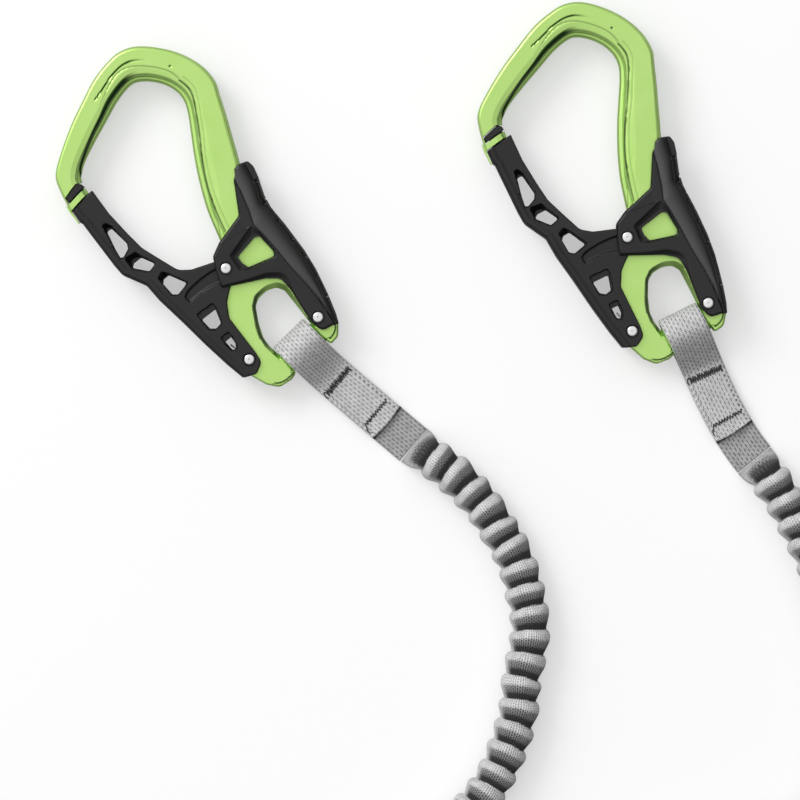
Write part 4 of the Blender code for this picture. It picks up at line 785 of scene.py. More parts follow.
gate_holes = [rounded(hole) for hole in GATE_HOLES]
gate_rims = [rounded(rim) for rim in GATE_RIMS]
gate_shape = relief(GATE_OUTLINE, gate_holes, gate_height, lambda p: inside(p, GATE_CHEEKS), CHEEK_GAP_HALF)
tongue = slab([(-25.0, 82.3), (-25.4, 85.6), (-19.7, 87.2), (-19.0, 83.9)], -TONGUE_HALF, TONGUE_HALF, 0.1)
head = slab([(-26.8, 84.6), (-26.85, 86.5), (-26.2, 86.9), (-21.2, 89.0), (-20.2, 88.9), (-19.2, 88.1),
             (-18.9, 86.9), (-22.5, 86.0)], -HEAD_HALF, HEAD_HALF, 0.35)
for side in CONNECTORS:
    gate = put_part("gate_relief", side, [gate_shape, tongue, head], black, "gate", "black_aluminium",
                    ["gate"])
print("gate faces:", len(gate.data.polygons))

# %% [markdown]
# ## The squeeze lever
# The lever is a black channel: two cheeks over the gate and the plate, joined by a web along the palm side.
# Two creases run down each cheek. Between them the face is slightly crowned; beyond the outer one it slopes
# to the grip edge, which has seven thumb ribs.

# %% Lever outline and creases
LEVER_OUTLINE = rounded([
    (31.2, 61.2, 1), (32.2, 63.3, 0.8), (34.6, 63.9, 0.8), (38.0, 63.2, 1.2), (38.8, 60.5, 1.5),
    (38.2, 56.0, 5), (35.9, 47.0, 12), (37.6, 36.0, 5), (38.7, 24.0, 5), (38.7, 16.0, 5), (37.7, 6.0, 5),
    (36.4, -2.0, 5),
    (35.2, -6.2, 0.8), (33.0, -5.3, 1), (28.8, -5.2, 2.5), (26.9, -1.0, 4), (26.6, 14.0, 5), (25.6, 19.5, 3),
    (21.0, 22.4, 5), (5.0, 28.0, 1), (6.6, 34.5, 3), (8.4, 39.6, 3), (13.0, 42.8, 5), (24.6, 47.6, 2),
    (29.8, 59.7, 3),
])
# Creases from the lever's foot up, so that y grows along them.
INNER_CREASE = np.array([(34.0, -8.0), (34.0, -3.5), (33.8, 5.3), (32.9, 12.4), (31.2, 21.2), (30.0, 30.0),
                         (28.8, 37.0), (27.6, 41.8), (28.8, 46.5), (30.0, 54.7), (30.3, 60.3), (30.9, 62.4)])
OUTER_CREASE = np.array([(34.5, -8.0), (34.7, -3.5), (35.9, 4.1), (36.6, 11.2), (36.8, 20.0), (36.2, 28.8),
                         (35.3, 37.0), (34.7, 43.5), (33.8, 47.0), (35.6, 54.7), (36.0, 60.0), (36.2, 66.0)])
LOWER_BEVEL = np.array([(5.0, 0.9), (15.0, 1.3), (24.0, 2.4)])  # x, width of the bevel
NOTCHES = np.array([(37.3, 54.4), (35.8, 45.8), (37.0, 37.6), (37.7, 29.4), (38.2, 21.2), (38.2, 12.9),
                    (37.4, 4.7)])
LEVER_HOLE = rounded([(16.2, 34.7, 1), (25.3, 37.6, 1), (27.1, 37.1, 1), (28.6, 29.7, 1), (27.9, 27.9, 1),
                      (17.6, 29.4, 1), (16.5, 31.8)])
LEVER_RIM = rounded([(13.8, 36.6, 1), (26.5, 42.1, 1), (28.0, 38.5, 1), (29.3, 29.8, 1.5), (28.5, 27.2, 1.5),
                     (17.0, 28.7, 1), (14.2, 29.6, 1)])
# The web's inner face: what lies left of it is open between the cheeks.
WEB_LINE = [(60.0, -20.0), (60.0, 5.0), (35.2, 5.0), (36.2, 14.0), (36.3, 24.0), (35.3, 36.0),
            (33.8, 47.0), (34.8, 51.5), (35.8, 56.0), (60.0, 56.0), (60.0, 70.0), (0.0, 70.0), (0.0, -20.0)]
LEVER_HALF, CHANNEL_HALF = 8.6, 6.6


# %% Lever surface
def across_lever(points):
    """Distance past the inner and the outer crease, share of the way between them, distance to each notch.

    A notch is a slanted slit: its distance counts 0.35 along it and 1 across.
    """
    x, y = points[:, 0], points[:, 1]
    inner, outer = (np.interp(y, crease[:, 1], crease[:, 0]) for crease in (INNER_CREASE, OUTER_CREASE))
    reach = points[:, None, :2] - NOTCHES
    notch = np.hypot(reach[..., 0] * 0.35, reach[..., 1] + 0.35 * reach[..., 0])
    return x - inner, x - outer, np.clip((x - inner) / (outer - inner), 0, 1), notch


def lever_height(points):
    """8.6 mm, with a step down left of the inner crease and a slope beyond the outer one.

    Between the creases the face is crowned, highest midway. The lower bevel follows the outline.
    """
    x, y = points.T
    past_inner, past_outer, share, notch = across_lever(points)
    z = LEVER_HALF - 0.70 * (1 - smooth(-0.35, 0.05, past_inner)) * smooth(60.5, 57.0, y)
    z -= 0.95 * (2 * share - 1) ** 2 * smooth(-0.35, 0.0, past_inner)
    z -= 0.35 * np.clip(-past_inner / 4, 0, 1) ** 2 * (y > 42)
    z -= 0.85 * np.clip(past_outer, 0, 3.2) + 0.35 * smooth(0.0, 0.3, past_outer)
    edge = nearest(points, LEVER_OUTLINE, closed=True)[0]
    z -= 0.8 * np.clip(1 - edge / 0.8, 0, 1) ** 1.5
    width = np.interp(x, *LOWER_BEVEL.T) * smooth(9.0, 19.0, y)
    z -= 0.62 * np.clip(width - edge, 0, 2.4) * (x < 31) * (y < 29.5)
    z = scoop(points, z, [LEVER_RIM], [LEVER_HOLE], 1.5)
    ribs = (0.95 * (1 - smooth(0.10, 0.34, notch)) - 0.45 * (1 - smooth(0.4, 1.0, notch))).sum(axis=1)
    z += ribs * (past_outer > 0)
    for centre in (LEVER_RIVET, LOCK_PIN):
        z = sunk(points, z, centre, 7.5)
    return z


def lever_painted_highlight(points):
    """Below 0 where a highlight is painted: right of the inner crease, most at it, and on the ribs."""
    past_inner, past_outer, share, notch = across_lever(points)
    crown = (1 - share) ** 1.4 * smooth(0.0, 0.3, past_inner) * smooth(-3, 8, points[:, 1])
    ribs = (1 - smooth(0.12, 0.40, notch.min(axis=1))) * smooth(-0.3, 0.1, past_outer)
    return -np.maximum(0.42 * crown, ribs)


lever_shape = relief(LEVER_OUTLINE, [LEVER_HOLE], lever_height, lambda p: inside(p, WEB_LINE), CHANNEL_HALF)
# The lever's attribute "line" paints a grey highlight in place of the lamp's reflection.
for side in CONNECTORS:
    lever = put_part("lever_relief", side, [lever_shape], black, "lever", "black_aluminium",
                     ["squeeze_lever"], line=lever_painted_highlight)
print("lever faces:", len(lever.data.polygons))

# %% [markdown]
# ## The body's plate
# The lower part of the green body is a flat plate with the tape's eye. Its eye is scooped from the face
# down, and the two lobes that hold the bar have a lowered shelf along their outer edge.

# %% Plate
PLATE_OUTLINE = rounded([
    (27.0, 50.0), (16.5, 50.0), (14.2, 43.5, 3), (12.6, 37.5, 4), (8.0, 32.0, 5), (0.7, 27.0, 4),
    (0.7, 5.0, 0.5), (-2.5, 4.4, 2), (-5.0, 0.6, 3), (-4.6, -2.4, 2), (-3.3, -4.2), (0.5, -11.2, 3),
    (4.2, -14.6, 3), (9.6, -14.5, 3), (12.2, -13.2, 1), (11.3, -9.3), (27.3, -6.5), (28.8, -10.9, 1),
    (32.6, -9.9, 3), (35.3, -5.6, 3), (34.8, 4.0, 5), (33.2, 15.0, 10), (32.0, 30.0, 10), (28.0, 44.0, 5),
])
EYE_HOLE = rounded([
    (10.7, -6.0), (8.9, 0.6, 3), (8.6, 4.2, 5), (10.0, 10.0, 8), (12.3, 15.8, 4), (14.7, 17.7, 3),
    (18.8, 18.6, 6), (22.5, 17.7, 3), (24.5, 15.2, 3), (25.4, 8.2, 8), (26.0, 2.5, 5), (26.8, -3.2),
])
EYE_RIM = rounded([
    (9.6, -6.3), (7.6, 0.6, 3), (7.3, 5.3, 5), (8.3, 9.2, 5), (11.2, 16.5, 5), (14.1, 19.4, 4),
    (19.2, 20.3, 5), (23.7, 19.2, 4), (26.0, 16.5, 3), (26.6, 8.5, 8), (27.0, 2.5, 5), (27.8, -3.0),
])
SHELVES = ([(3.8, -12.6), (5.3, -13.2), (8.0, -13.4), (11.9, -12.6)],
           [(29.6, -8.9), (31.8, -8.0), (33.7, -6.0), (34.0, -4.0)])
PLATE_HALF = 3.8


# %% Plate surface
def shelf_gap(points):
    """Distance past the nearer shelf's inner edge, towards the lobe's outline; negative on the face."""
    edge, foot = nearest(points, PLATE_OUTLINE, closed=True)
    gaps = []
    for line in SHELVES:
        away, on = nearest(points, strip_curve(line, 30))
        beyond = ((points - on) * (foot - on)).sum(axis=1) > 0
        gaps.append(np.where(beyond & (np.abs(edge + away - 1.3) < 0.6), away, -away))
    return np.maximum(*gaps)


def plate_painted_shade(points):
    """Painted shade: 1 along the shelves' inner edge, where the step lies in shade, and on the eye's wall
    where it turns away from the light.
    """
    plan = points[:, :2]
    rim = nearest(plan, EYE_RIM, closed=True)[0]
    shelf = 1 - smooth(0.12, 0.36, np.abs(shelf_gap(plan)))
    x, y = plan.T
    eye = (1 - smooth(0.25, 0.75, np.abs(rim - 0.65))) * smooth(21, 15, x) * smooth(-3, 3, y)
    return np.maximum(0.95 * shelf, 0.85 * eye * inside(plan, EYE_RIM))


def plate_height(points):
    """3.8 mm, with a bevelled edge, a scooped eye and lowered shelves."""
    edge = nearest(points, PLATE_OUTLINE, closed=True)[0]
    z = PLATE_HALF - 0.5 * np.clip(1 - edge / 0.5, 0, 1) - 0.9 * smooth(0.0, 0.25, shelf_gap(points))
    return scoop(points, z, [EYE_RIM], [EYE_HOLE], 3.4)


plate_shape = relief(PLATE_OUTLINE, [EYE_HOLE], plate_height)
print("plate faces:", len(plate_shape[1]))

# %% [markdown]
# ## The basket
# The basket is a forged hook. Its section runs from the inner edge over a narrow rim and a steep wall to a
# sloping band and the flat face, then over a rounded outer edge. The two edge curves are given in pairs,
# and a smooth curve through the pairs carries the section along.

# %% Basket curves
BASKET_INNER = [
    (-18.3, 83.0), (-18.6, 89.2), (-16.6, 92.2), (-13.0, 95.3), (-6.0, 99.6), (1.8, 104.0), (8.0, 107.5),
    (13.6, 109.7), (17.3, 110.1), (20.8, 108.7), (24.3, 106.1), (27.3, 102.6), (29.2, 98.3), (29.4, 94.0),
    (28.0, 89.3), (25.4, 83.3), (22.0, 75.5), (19.2, 68.0), (17.0, 61.0), (15.3, 54.0), (13.7, 43.2),
]
BASKET_OUTER = [
    (-28.1, 81.0), (-27.2, 91.0), (-25.6, 96.2), (-20.5, 101.4), (-11.5, 108.6), (-2.5, 114.5), (5.0, 119.0),
    (12.2, 121.7), (18.2, 122.8), (24.6, 121.4), (31.5, 116.7), (37.6, 110.3), (41.8, 102.8), (43.2, 95.5),
    (41.9, 89.4), (40.2, 82.5), (38.0, 74.6), (36.1, 67.8), (34.2, 62.2), (29.6, 55.0), (28.6, 43.0),
]
BASKET_HALF, GROOVE_DEPTH = 5.5, 0.35
# (share of the way from inner to outer edge, share of the full height)
BASKET_SECTION = np.array([(0.0, 0.12), (0.03, 0.30), (0.06, 0.36), (0.12, 0.40), (0.15, 0.66), (0.185, 0.88),
                           (0.22, 0.93), (0.38, 0.985), (0.41, 1.0), (0.90, 1.0), (0.94, 0.955), (0.97, 0.86),
                           (0.99, 0.70), (1.0, 0.50)])
# Lines on the face: the shaded wall, the engraved line at the bend, a faint one inside it and the spine's.
DARK_WALL = [(-18.4, 86.0), (-17.9, 90.0), (-17.2, 92.4), (-15.0, 95.0), (-10.0, 99.0), (-7.5, 100.8),
             (-5.0, 102.5), (0.0, 105.6), (5.0, 108.9), (10.0, 111.2), (15.0, 112.7), (19.0, 112.7),
             (22.0, 111.6)]
FACE_LINE = [(1.5, 112.2), (6.0, 114.2), (11.0, 116.5), (15.0, 117.7), (19.0, 117.8), (23.0, 116.3),
             (26.0, 114.5)]
FAINT_LINE = [(0.0, 108.3), (5.0, 111.5), (10.0, 114.6), (14.4, 116.2), (18.5, 115.9), (22.5, 114.0),
              (27.9, 109.8), (31.2, 105.6), (32.2, 102.6)]
SPINE_LINE = np.array([(32.0, 102.0), (33.5, 97.0), (32.8, 93.0), (30.0, 86.0), (27.5, 80.0), (24.5, 74.0),
                       (22.0, 68.0), (20.0, 62.0), (18.5, 55.0), (17.2, 45.0)])
FACE_DOT = (31.8, 108.3)
print("pairs of edge points:", len(BASKET_INNER), len(BASKET_OUTER))


# %% Basket surface
def smooth_pairs(first, second, count):
    """A Catmull-Rom curve through the pairs of points, so that both edges keep their partners."""
    points = np.hstack([np.array(first, float), np.array(second, float)])
    ends = np.vstack([2 * points[0] - points[1], points, 2 * points[-1] - points[-2]])
    a, b, c, d = (ends[k:len(ends) - 3 + k, None] for k in range(4))
    t = np.linspace(0, 1, FINE_STEPS)[None, :-1, None]
    fine = 0.5 * (2 * b + (c - a) * t + (2 * a - 5 * b + 4 * c - d) * t**2 + (3 * b - a - 3 * c + d) * t**3)
    both = spread(np.vstack([fine.reshape(-1, 4), points[-1:]]), count)
    return both[:, :2], both[:, 2:]


def engraved(points):
    """1 on the engraved lines of the face, falling to 0 less than half a millimetre away."""
    plan = points[:, :2]
    x = plan[:, 0]

    def line(points_given, count, inner, outer):
        return 1 - smooth(inner, outer, nearest(plan, strip_curve(points_given, count))[0])

    return np.maximum.reduce([
        line(FACE_LINE, 60, 0.10, 0.40) * smooth(26, 19, x),
        0.45 * line(FAINT_LINE, 90, 0.08, 0.34) * smooth(0, 8, x),
        0.8 * line(SPINE_LINE, 80, 0.12, 0.42),
        0.25 * line(SPINE_LINE + (1.9, 0.4), 80, 0.1, 0.4),
        1 - smooth(0.25, 0.55, np.hypot(*(plan - FACE_DOT).T))])


def basket_lines_and_painted_shade(points):
    """The engraved lines, and painted shade on the left arm's inner wall, turned from the light, 0.6 to 1.9
    mm wide.
    """
    x = points[:, 0]
    half = np.interp(x, [-18, 10], [0.30, 0.85])
    wall = nearest(points[:, :2], strip_curve(DARK_WALL, 90))[0]
    # Painted shade on the wall that is turned from the light.
    dark = (1 - smooth(half - 0.15, half + 0.35, wall)) * smooth(21, 14, x) * (points[:, 2] > 0)
    return np.maximum(engraved(points), dark)


def basket_shape(stations=330):
    """Point at share t of the way across: inner + t * (outer - inner), height section(t) * 5.5 mm."""
    inner, outer = smooth_pairs(BASKET_INNER, BASKET_OUTER, stations)
    # Close steps at the inner wall and at the rounded outer edge.
    share = np.concatenate([np.linspace(0, 0.2, 18)[:-1], np.linspace(0.2, 0.9, 32)[:-1],
                            np.linspace(0.9, 1, 18)])
    plan = inner[:, None] + share[None, :, None] * (outer - inner)[:, None]
    groove = engraved(plan.reshape(-1, 2)).reshape(plan.shape[:2])
    z = np.interp(share, *BASKET_SECTION.T) * BASKET_HALF - GROOVE_DEPTH * groove
    top = np.concatenate([plan, z[..., None]], axis=2)
    ring = np.concatenate([top, top[:, ::-1] * (1, 1, -1)], axis=1)
    return ring.reshape(-1, 3), tube_faces(*ring.shape[:2])


basket = basket_shape()
print("basket points:", len(basket[0]))

# %% [markdown]
# ## The nose and the bar
# The nose is milled where the gate's head and tongue enter it, so exact Booleans cut it. They follow arcs
# about the gate's rivet, which leaves the gate free to swing. A lip and the round bar are added to the body.

# %% Nose, lip and bar
def sector(inner, outer, start, wall, low, high):
    """A slab between two radii about the rivet, from an angle left of up out to the wall at x = -wall."""
    rays = [(r, np.linspace(start, math.degrees(math.asin(wall / r)), 15)) for r in (inner, outer)]
    ring = [(-r * math.sin(math.radians(a)), r * math.cos(math.radians(a)))
            for r, angles in (rays[0], (rays[1][0], rays[1][1][::-1])) for a in angles]
    return slab(ring, low, high, 0.001)


def cut(thing, side, shapes):
    """Takes closed shapes out of a part, one exact Boolean after the other."""
    for points, faces in shapes:
        cutter = new_object("cutter", place(points, side), [list(map(int, face)) for face in faces])
        step = thing.modifiers.new("cut", "BOOLEAN")
        step.operation, step.solver, step.object = "DIFFERENCE", "EXACT", cutter
        bpy.context.view_layer.update()
        graph = bpy.context.evaluated_depsgraph_get()
        result = bpy.data.meshes.new_from_object(thing.evaluated_get(graph), depsgraph=graph)
        thing.modifiers.clear()
        thing.data = result
        bpy.data.objects.remove(cutter, do_unlink=True)
    return thing


# Out of the nose: the sweep of the gate's rail, the bed of its head and the slot for its tongue.
nose_cuts = [
    sector(44, 86.2, 0, 43.0, -9, 9),
    slab([(-27.1, 84.05), (-22.0, 85.5), (-17.0, 86.65), (-17.0, 88.4), (-19.2, 88.9), (-21.1, 89.4),
          (-24.0, 88.3), (-27.1, 86.9)], -9, 9, 0.001),
    sector(85.6, 88.7, 5, 25.3, -1.7, 1.7),
]
lip = slab([(-27.4, 76.4), (-27.8, 83.0), (-28.4, 84.6), (-28.5, 82.0), (-27.9, 76.4)], -2.7, 2.7, 0.15)
BAR_MIDDLE, BAR_TURN = (19.0, -6.3), math.radians(10)


def turned(profile, count=48):
    """A profile of (radius, height) turned about z and closed by a flat face at both ends."""
    angle = np.linspace(0, 2 * np.pi, count, endpoint=False)
    profile = np.array(profile, float)
    ring = np.stack([profile[:, :1] * np.cos(angle), profile[:, :1] * np.sin(angle),
                     np.broadcast_to(profile[:, 1:], (len(profile), count))], axis=-1)
    return ring.reshape(-1, 3), [face[::-1] for face in tube_faces(len(profile), count)]


def bar_shape():
    """The round bar, thicker under the tape: its profile turned about z, then laid along the bar's line."""
    points, faces = turned([(2.5, -10.6), (3.6, -10.5), (3.6, -8.8), (5.0, -7.6),
                            (5.0, 7.6), (3.6, 8.8), (3.6, 10.5), (2.5, 10.6)], 64)
    across, level, along = points.T
    c, s = math.cos(BAR_TURN), math.sin(BAR_TURN)
    return np.column_stack([BAR_MIDDLE[0] + along * c - across * s, BAR_MIDDLE[1] + along * s + across * c,
                            level]), faces


bar = bar_shape()
for side in CONNECTORS:
    hook = put_part("basket", side, [basket], green, "connector", "green_aluminium", ["connector_body"], 34,
                    basket_lines_and_painted_shade)
    cut(hook, side, nose_cuts)
    put_part("plate", side, [plate_shape, bar, lip], green, "connector", "green_aluminium", [], 34,
             plate_painted_shade)
print("basket faces:", len(hook.data.polygons))

# %% [markdown]
# ## Rivets and lock pins
# The rivets are turned from stainless steel and closed to shallow, polished domes with a small dimple where
# the rivet was held. They sit in dark counterbores.

# %% Domes
def head_profile(half, radius=1.5, crown=0.75):
    """Half of a rivet, from its middle out: shank, underside, rounded rim, dome and dimple."""
    under = half - 1.08
    turn = np.linspace(0.15, 1, 9)[:-1] * math.pi / 2
    dome = zip(2.0 * np.cos(turn) ** 0.62, under + 0.2 + (crown - 0.2) * np.sin(turn))
    return [(radius, under), (2.0, under), (2.0, under + 0.2), *dome,
            (0.42, under + crown), (0.25, under + crown - 0.15), (0.05, under + crown - 0.18)]


def moved_to(shape, centre, flip=1):
    """The shape at a new centre in plan; flip -1 turns it over about x."""
    points, faces = shape
    return points * (1, flip, flip) + (*centre, 0), faces


def rivet(half):
    """Both heads and the shank of a rivet, as one profile from bottom to top."""
    upper = head_profile(half)
    return turned([(r, -z) for r, z in reversed(upper)] + upper)


pin = turned([(0.05, 5.2), (1.25, 5.2)] + head_profile(LEVER_HALF, 1.25))
pins = [moved_to(pin, LOCK_PIN, flip) for flip in (1, -1)]
lever_rivet = moved_to(rivet(LEVER_HALF), LEVER_RIVET)
for side in CONNECTORS:
    put_part("gate_rivet_turned", side, [rivet(GATE_HALF)], steel, "connector", "steel", ["gate_rivet"])
    put_part("lever_rivet_turned", side, [lever_rivet], steel, "connector", "steel", ["lever_rivet"])
    put_part("lock_pins_turned", side, pins, steel, "lever", "steel", ["upper_lock_pin", "lower_lock_pin"])
    for node, finish in (("gate_spring", steel), ("lever_spring", steel), ("lever_grip", nylon)):
        for slot in bpy.data.objects[f"{side}_{node}"].material_slots:
            slot.material = finish
print("rivets and pins in place")

# %% [markdown]
# ## The tapes
# A 16 mm polyester tape is folded round each bar and sewn to itself. The top layer ends in a hot-cut edge
# that the heat draws into a slight curve. A band carried along the tape's track makes it: flat faces, and
# edges rounded like a selvedge. The way runs from the bar's middle along slowly turning headings.

# %% Bands
def band_section(width, thickness, count=15):
    """Round the band: along the top, round the edge, back underneath, as (across, up)."""
    half = width / 2 - thickness / 2
    x = np.linspace(half, -half, count)
    bend = np.linspace(0, np.pi, 7)[1:-1]
    left = np.column_stack([-half - thickness / 2 * np.sin(bend), thickness / 2 * np.cos(bend)])
    top = np.column_stack([x, np.full(count, thickness / 2)])
    return np.vstack([top, left, -top, -left])


def band(name, centres, sides, ups, width, thickness, shade, push=None):
    """Point (i, j): centre i + side i * across j + up i * height j, in metres, with a shade for each row.

    push(across) moves the first row along the run; the move falls to 0 within ten rows.
    """
    section = band_section(width, thickness)
    grid = centres[:, None] + sides[:, None] * section[None, :, :1] + ups[:, None] * section[None, :, 1:]
    if push:
        share = np.clip(1 - np.arange(len(centres)) / 10, 0, 1)[:, None, None]
        grid = grid + np.cross(sides, ups)[:, None] * push(section[:, 0])[None, :, None] * share
    uv = np.stack(np.broadcast_arrays(lengths_along(centres)[:, None], section[None, :, 0]), axis=-1)
    return surface(name, grid, tape_weave, uv, np.broadcast_to(shade[:, None], grid.shape[:2]))


print("points round a band:", len(band_section(0.0158, 0.0016)))

# %% Tapes
TAPES = {
    "left": ((-0.04169, 0.123411), (-45.5, -40.5, -40.5, -40.0)),
    "right": ((0.101115, 0.13005), (-63.5, -67.0, -61.5, -51.0)),
}
TAPE_LENGTH, TOP_LAYER = 0.055, 0.0426
TAPE_WIDTH, TAPE_THICKNESS = 0.0158, 0.0016
UNDER, OVER = 0.00095, 0.00285  # heights of the two layers' middle
SLOPE_SHADE = {"left": 0.0, "right": 0.40}  # the slope from the bar, where it is turned from the light
BEND = 0.0067  # from the bar's middle to the tape's
RAMP = 0.0161  # where the tape has come down from the bar


def tape_track(side, places):
    """x, y and heading at places along the tape: the heading turns evenly from one value to the next."""
    bar, headings = TAPES[side]
    steps = np.linspace(0, TAPE_LENGTH, 221)
    heading = np.radians(np.interp(steps, np.linspace(0, TAPE_LENGTH, len(headings)), headings))
    stride = steps[1]
    x = bar[0] + np.concatenate([[0], np.cumsum(np.cos(heading[:-1]) * stride)])
    y = bar[1] + np.concatenate([[0], np.cumsum(np.sin(heading[:-1]) * stride)])
    angle = np.interp(places, steps, heading)
    behind = np.minimum(places, 0)
    return (np.interp(places, steps, x) + behind * math.cos(heading[0]),
            np.interp(places, steps, y) + behind * math.sin(heading[0]), angle)


def tape_profile():
    """(place, height) from the top layer's cut end over the bar and back underneath to the arm."""
    t = np.linspace(0, 1, 40)
    ease = (1 + np.cos(np.pi * t)) / 2
    upper, lower = (np.column_stack([RAMP * t, level + (MIDDLE + lift - level) * ease])
                    for level, lift in ((OVER, BEND), (UNDER, -BEND)))
    a = np.linspace(0, np.pi, 26)[1:-1]
    bend = np.column_stack([-BEND * np.sin(a), MIDDLE + BEND * np.cos(a)])
    far = np.column_stack([np.linspace(TOP_LAYER, RAMP, 60)[:-1], np.full(59, OVER)])
    near = np.column_stack([np.linspace(RAMP, TAPE_LENGTH, 80)[1:], np.full(79, UNDER)])
    far[:8, 1] += 0.00025 * np.linspace(1, 0, 8) ** 2  # the cut end curls up
    return np.vstack([far, upper[::-1], bend, lower, near])


def tape_object(side):
    """The tape's band. Its shade attribute is nearly black under the top layer and just past its cut end, a
    painted shadow; 0.5 on the rest of the open lower layer; painted shade on the slope from the bar.
    """
    profile = tape_profile()
    x, y, angle = tape_track(side, profile[:, 0])
    centres = np.column_stack([x, y, profile[:, 1]])
    sides = np.column_stack([-np.sin(angle), np.cos(angle), np.zeros(len(angle))])
    run = directions(profile)
    ups = np.column_stack([-run[:, 1] * np.cos(angle), -run[:, 1] * np.sin(angle), run[:, 0]])
    place, height = profile.T
    lower = height < (UNDER + OVER) / 2
    slope = np.interp(place, [-0.006, 0.006, 0.015, 0.020], [0.0, 0.5, 1.0, 0.0]) * SLOPE_SHADE[side]
    shade = np.where(lower, 0.50, slope)
    # Painted shadow of the top layer's cut end on the lower layer.
    shade = np.where(lower & (place < TOP_LAYER + 0.0005), 0.95, shade)
    tape = band(side + "_tape", centres, -sides, -ups, TAPE_WIDTH, TAPE_THICKNESS, shade,
                push=lambda across: 0.0008 * (2 * across / TAPE_WIDTH) ** 2)
    return dress(tape, "webbing", "webbing", side + "_tape_loop")


for side in TAPES:
    tape = tape_object(side)
print("tape faces:", len(tape.data.polygons))

# %% [markdown]
# ## Stitches
# The tape is closed with two bar tacks in black bonded polyester thread, 0.35 mm thick. A bar tack is a
# dense zigzag: the thread crosses over on top and dives through the webbing at each turn. A single row of
# stitches runs along both edges. Each is a thin tube along the thread's own way.

# %% Thread
thread_black, tree, shader = new_material("bonded_polyester_thread", Roughness=0.55, IOR=1.6)
where = add_node(tree, "ShaderNodeTexCoord").outputs["Object"]
fibre = add_node(tree, "ShaderNodeTexNoise", {"Vector": where, "Scale": 5200.0, "Detail": 2.0}).outputs["Fac"]
tones = add_node(tree, "ShaderNodeMix", {"Factor": fibre, "A": linear("#101010"), "B": linear("#343434")},
                 data_type="RGBA")
tree.links.new(tones.outputs["Result"], shader.inputs["Base Color"])
twist = add_node(tree, "ShaderNodeBump", {"Height": fibre, "Strength": 0.5, "Distance": 0.0001})
tree.links.new(twist.outputs[0], shader.inputs["Normal"])


def tube(name, line, radius, around=6, material=thread_black):
    """A round tube along a line: centre + radius * (side * cos a + up * sin a)."""
    run = directions(line)
    side = np.cross(run, (0.0, 0.0, 1.0))
    side /= np.linalg.norm(side, axis=1)[:, None]
    up = np.cross(side, run)
    angle = np.linspace(0, 2 * np.pi, around, endpoint=False)[None, :, None]
    grid = line[:, None] + radius * (side[:, None] * np.cos(angle) + up[:, None] * np.sin(angle))
    return surface(name, grid, material)


print("thread:", thread_black.name)


# %% Tacks and edge stitches
def zigzag(passes, depth, width, lift, seed, per=9):
    """(along, across, up): a triangle wave across the bar that dives at each turn, a little uneven."""
    chance = np.random.default_rng(seed)
    s = np.linspace(0, passes, passes * per + 1)
    turns = np.arange(passes + 1)
    swing = 4 * np.abs(s / 2 - np.floor(s / 2 + 0.5)) - 1
    uneven = np.interp(s, turns, chance.uniform(0.75, 1.1, passes + 1))
    across = width * (s / passes - 0.5) + 0.00012 * np.interp(s, turns, chance.normal(size=passes + 1))
    return depth / 2 * swing * uneven, across, lift - 0.0004 * np.abs(swing) ** 8


def on_tape(side, place, along, across):
    """World x and y of points given along and across the tape from a place on it."""
    x, y, angle = tape_track(side, place + along)
    return x - across * np.sin(angle), y + across * np.cos(angle)


TACKS = {1: (0.0183, 30, 0.0028, 0.0128), 2: (0.0367, 21, 0.0016, 0.0122)}  # place, passes, depth, width
TAPE_TOP = OVER + TAPE_THICKNESS / 2
THREAD_LIFT = 0.00008  # the thread's middle above the cloth
THREAD_RADIUS = 0.00023
EDGE_STITCH, EDGE_INSET = 0.0021, 0.0015

for side in TAPES:
    for number, (start, passes, depth, width) in TACKS.items():
        along, across, up = zigzag(passes, depth, width, TAPE_TOP + THREAD_LIFT, 7 * number + len(side))
        tail = np.linspace(0, 1, 14)[1:]
        along = np.concatenate([along, along[-1] + 0.0036 * tail])
        across = np.concatenate([across, across[-1] + 0.0010 * np.sin(3 * tail)])
        up = np.concatenate([up, TAPE_TOP + 0.00005 - 0.0006 * tail ** 4])
        x, y = on_tape(side, start, along, -across)
        stitch = tube(f"{side}_tack_thread_{number}", np.column_stack([x, y, up]), THREAD_RADIUS)
        dress(stitch, "webbing", "thread", f"{side}_bar_tack_{number}")
    for edge, sign in (("left", 1), ("right", -1)):
        # Each stitch rises out of the tape and dives again.
        along = np.linspace(0.0185, 0.0415, 331)
        up = TAPE_TOP - 0.00022 + 0.00030 * np.sin(2 * np.pi * along / EDGE_STITCH)
        x, y = on_tape(side, 0.0, along, np.full(len(along), sign * (TAPE_WIDTH / 2 - EDGE_INSET)))
        row = tube(f"{side}_edge_stitches_{edge}", np.column_stack([x, y, up]), 0.00016)
        dress(row, "webbing", "thread")
print("stitches sewn")

# %% [markdown]
# ## The absorber
# The absorber is a nylon pouch that holds the folded tear webbing. The pouch is sewn from two crowned
# panels that meet in a bound seam all round. It is soft, so its faces bulge over the folds and pull in at
# the corners. Cordura is a coarse plain weave of textured nylon, near-black, with a pitch of 0.6 mm.

# %% Cordura
POUCH_CENTRE = np.array((-0.005231, -0.229175))
POUCH_PLAN, POUCH_HEIGHT = np.array((0.120, 0.045)), 0.022
CORNER = 0.28  # the rim's exponent: nearer 0 is squarer
SEAM_HEIGHT, PANEL_RISE, PANEL_DROP = 0.0112, 0.0100, 0.0118
PANEL_INSET, SHRINK = 0.0012, 0.985
HEM_STITCH = 0.0030
WEAVE_PITCH = 0.0012  # two threads of 0.6 mm

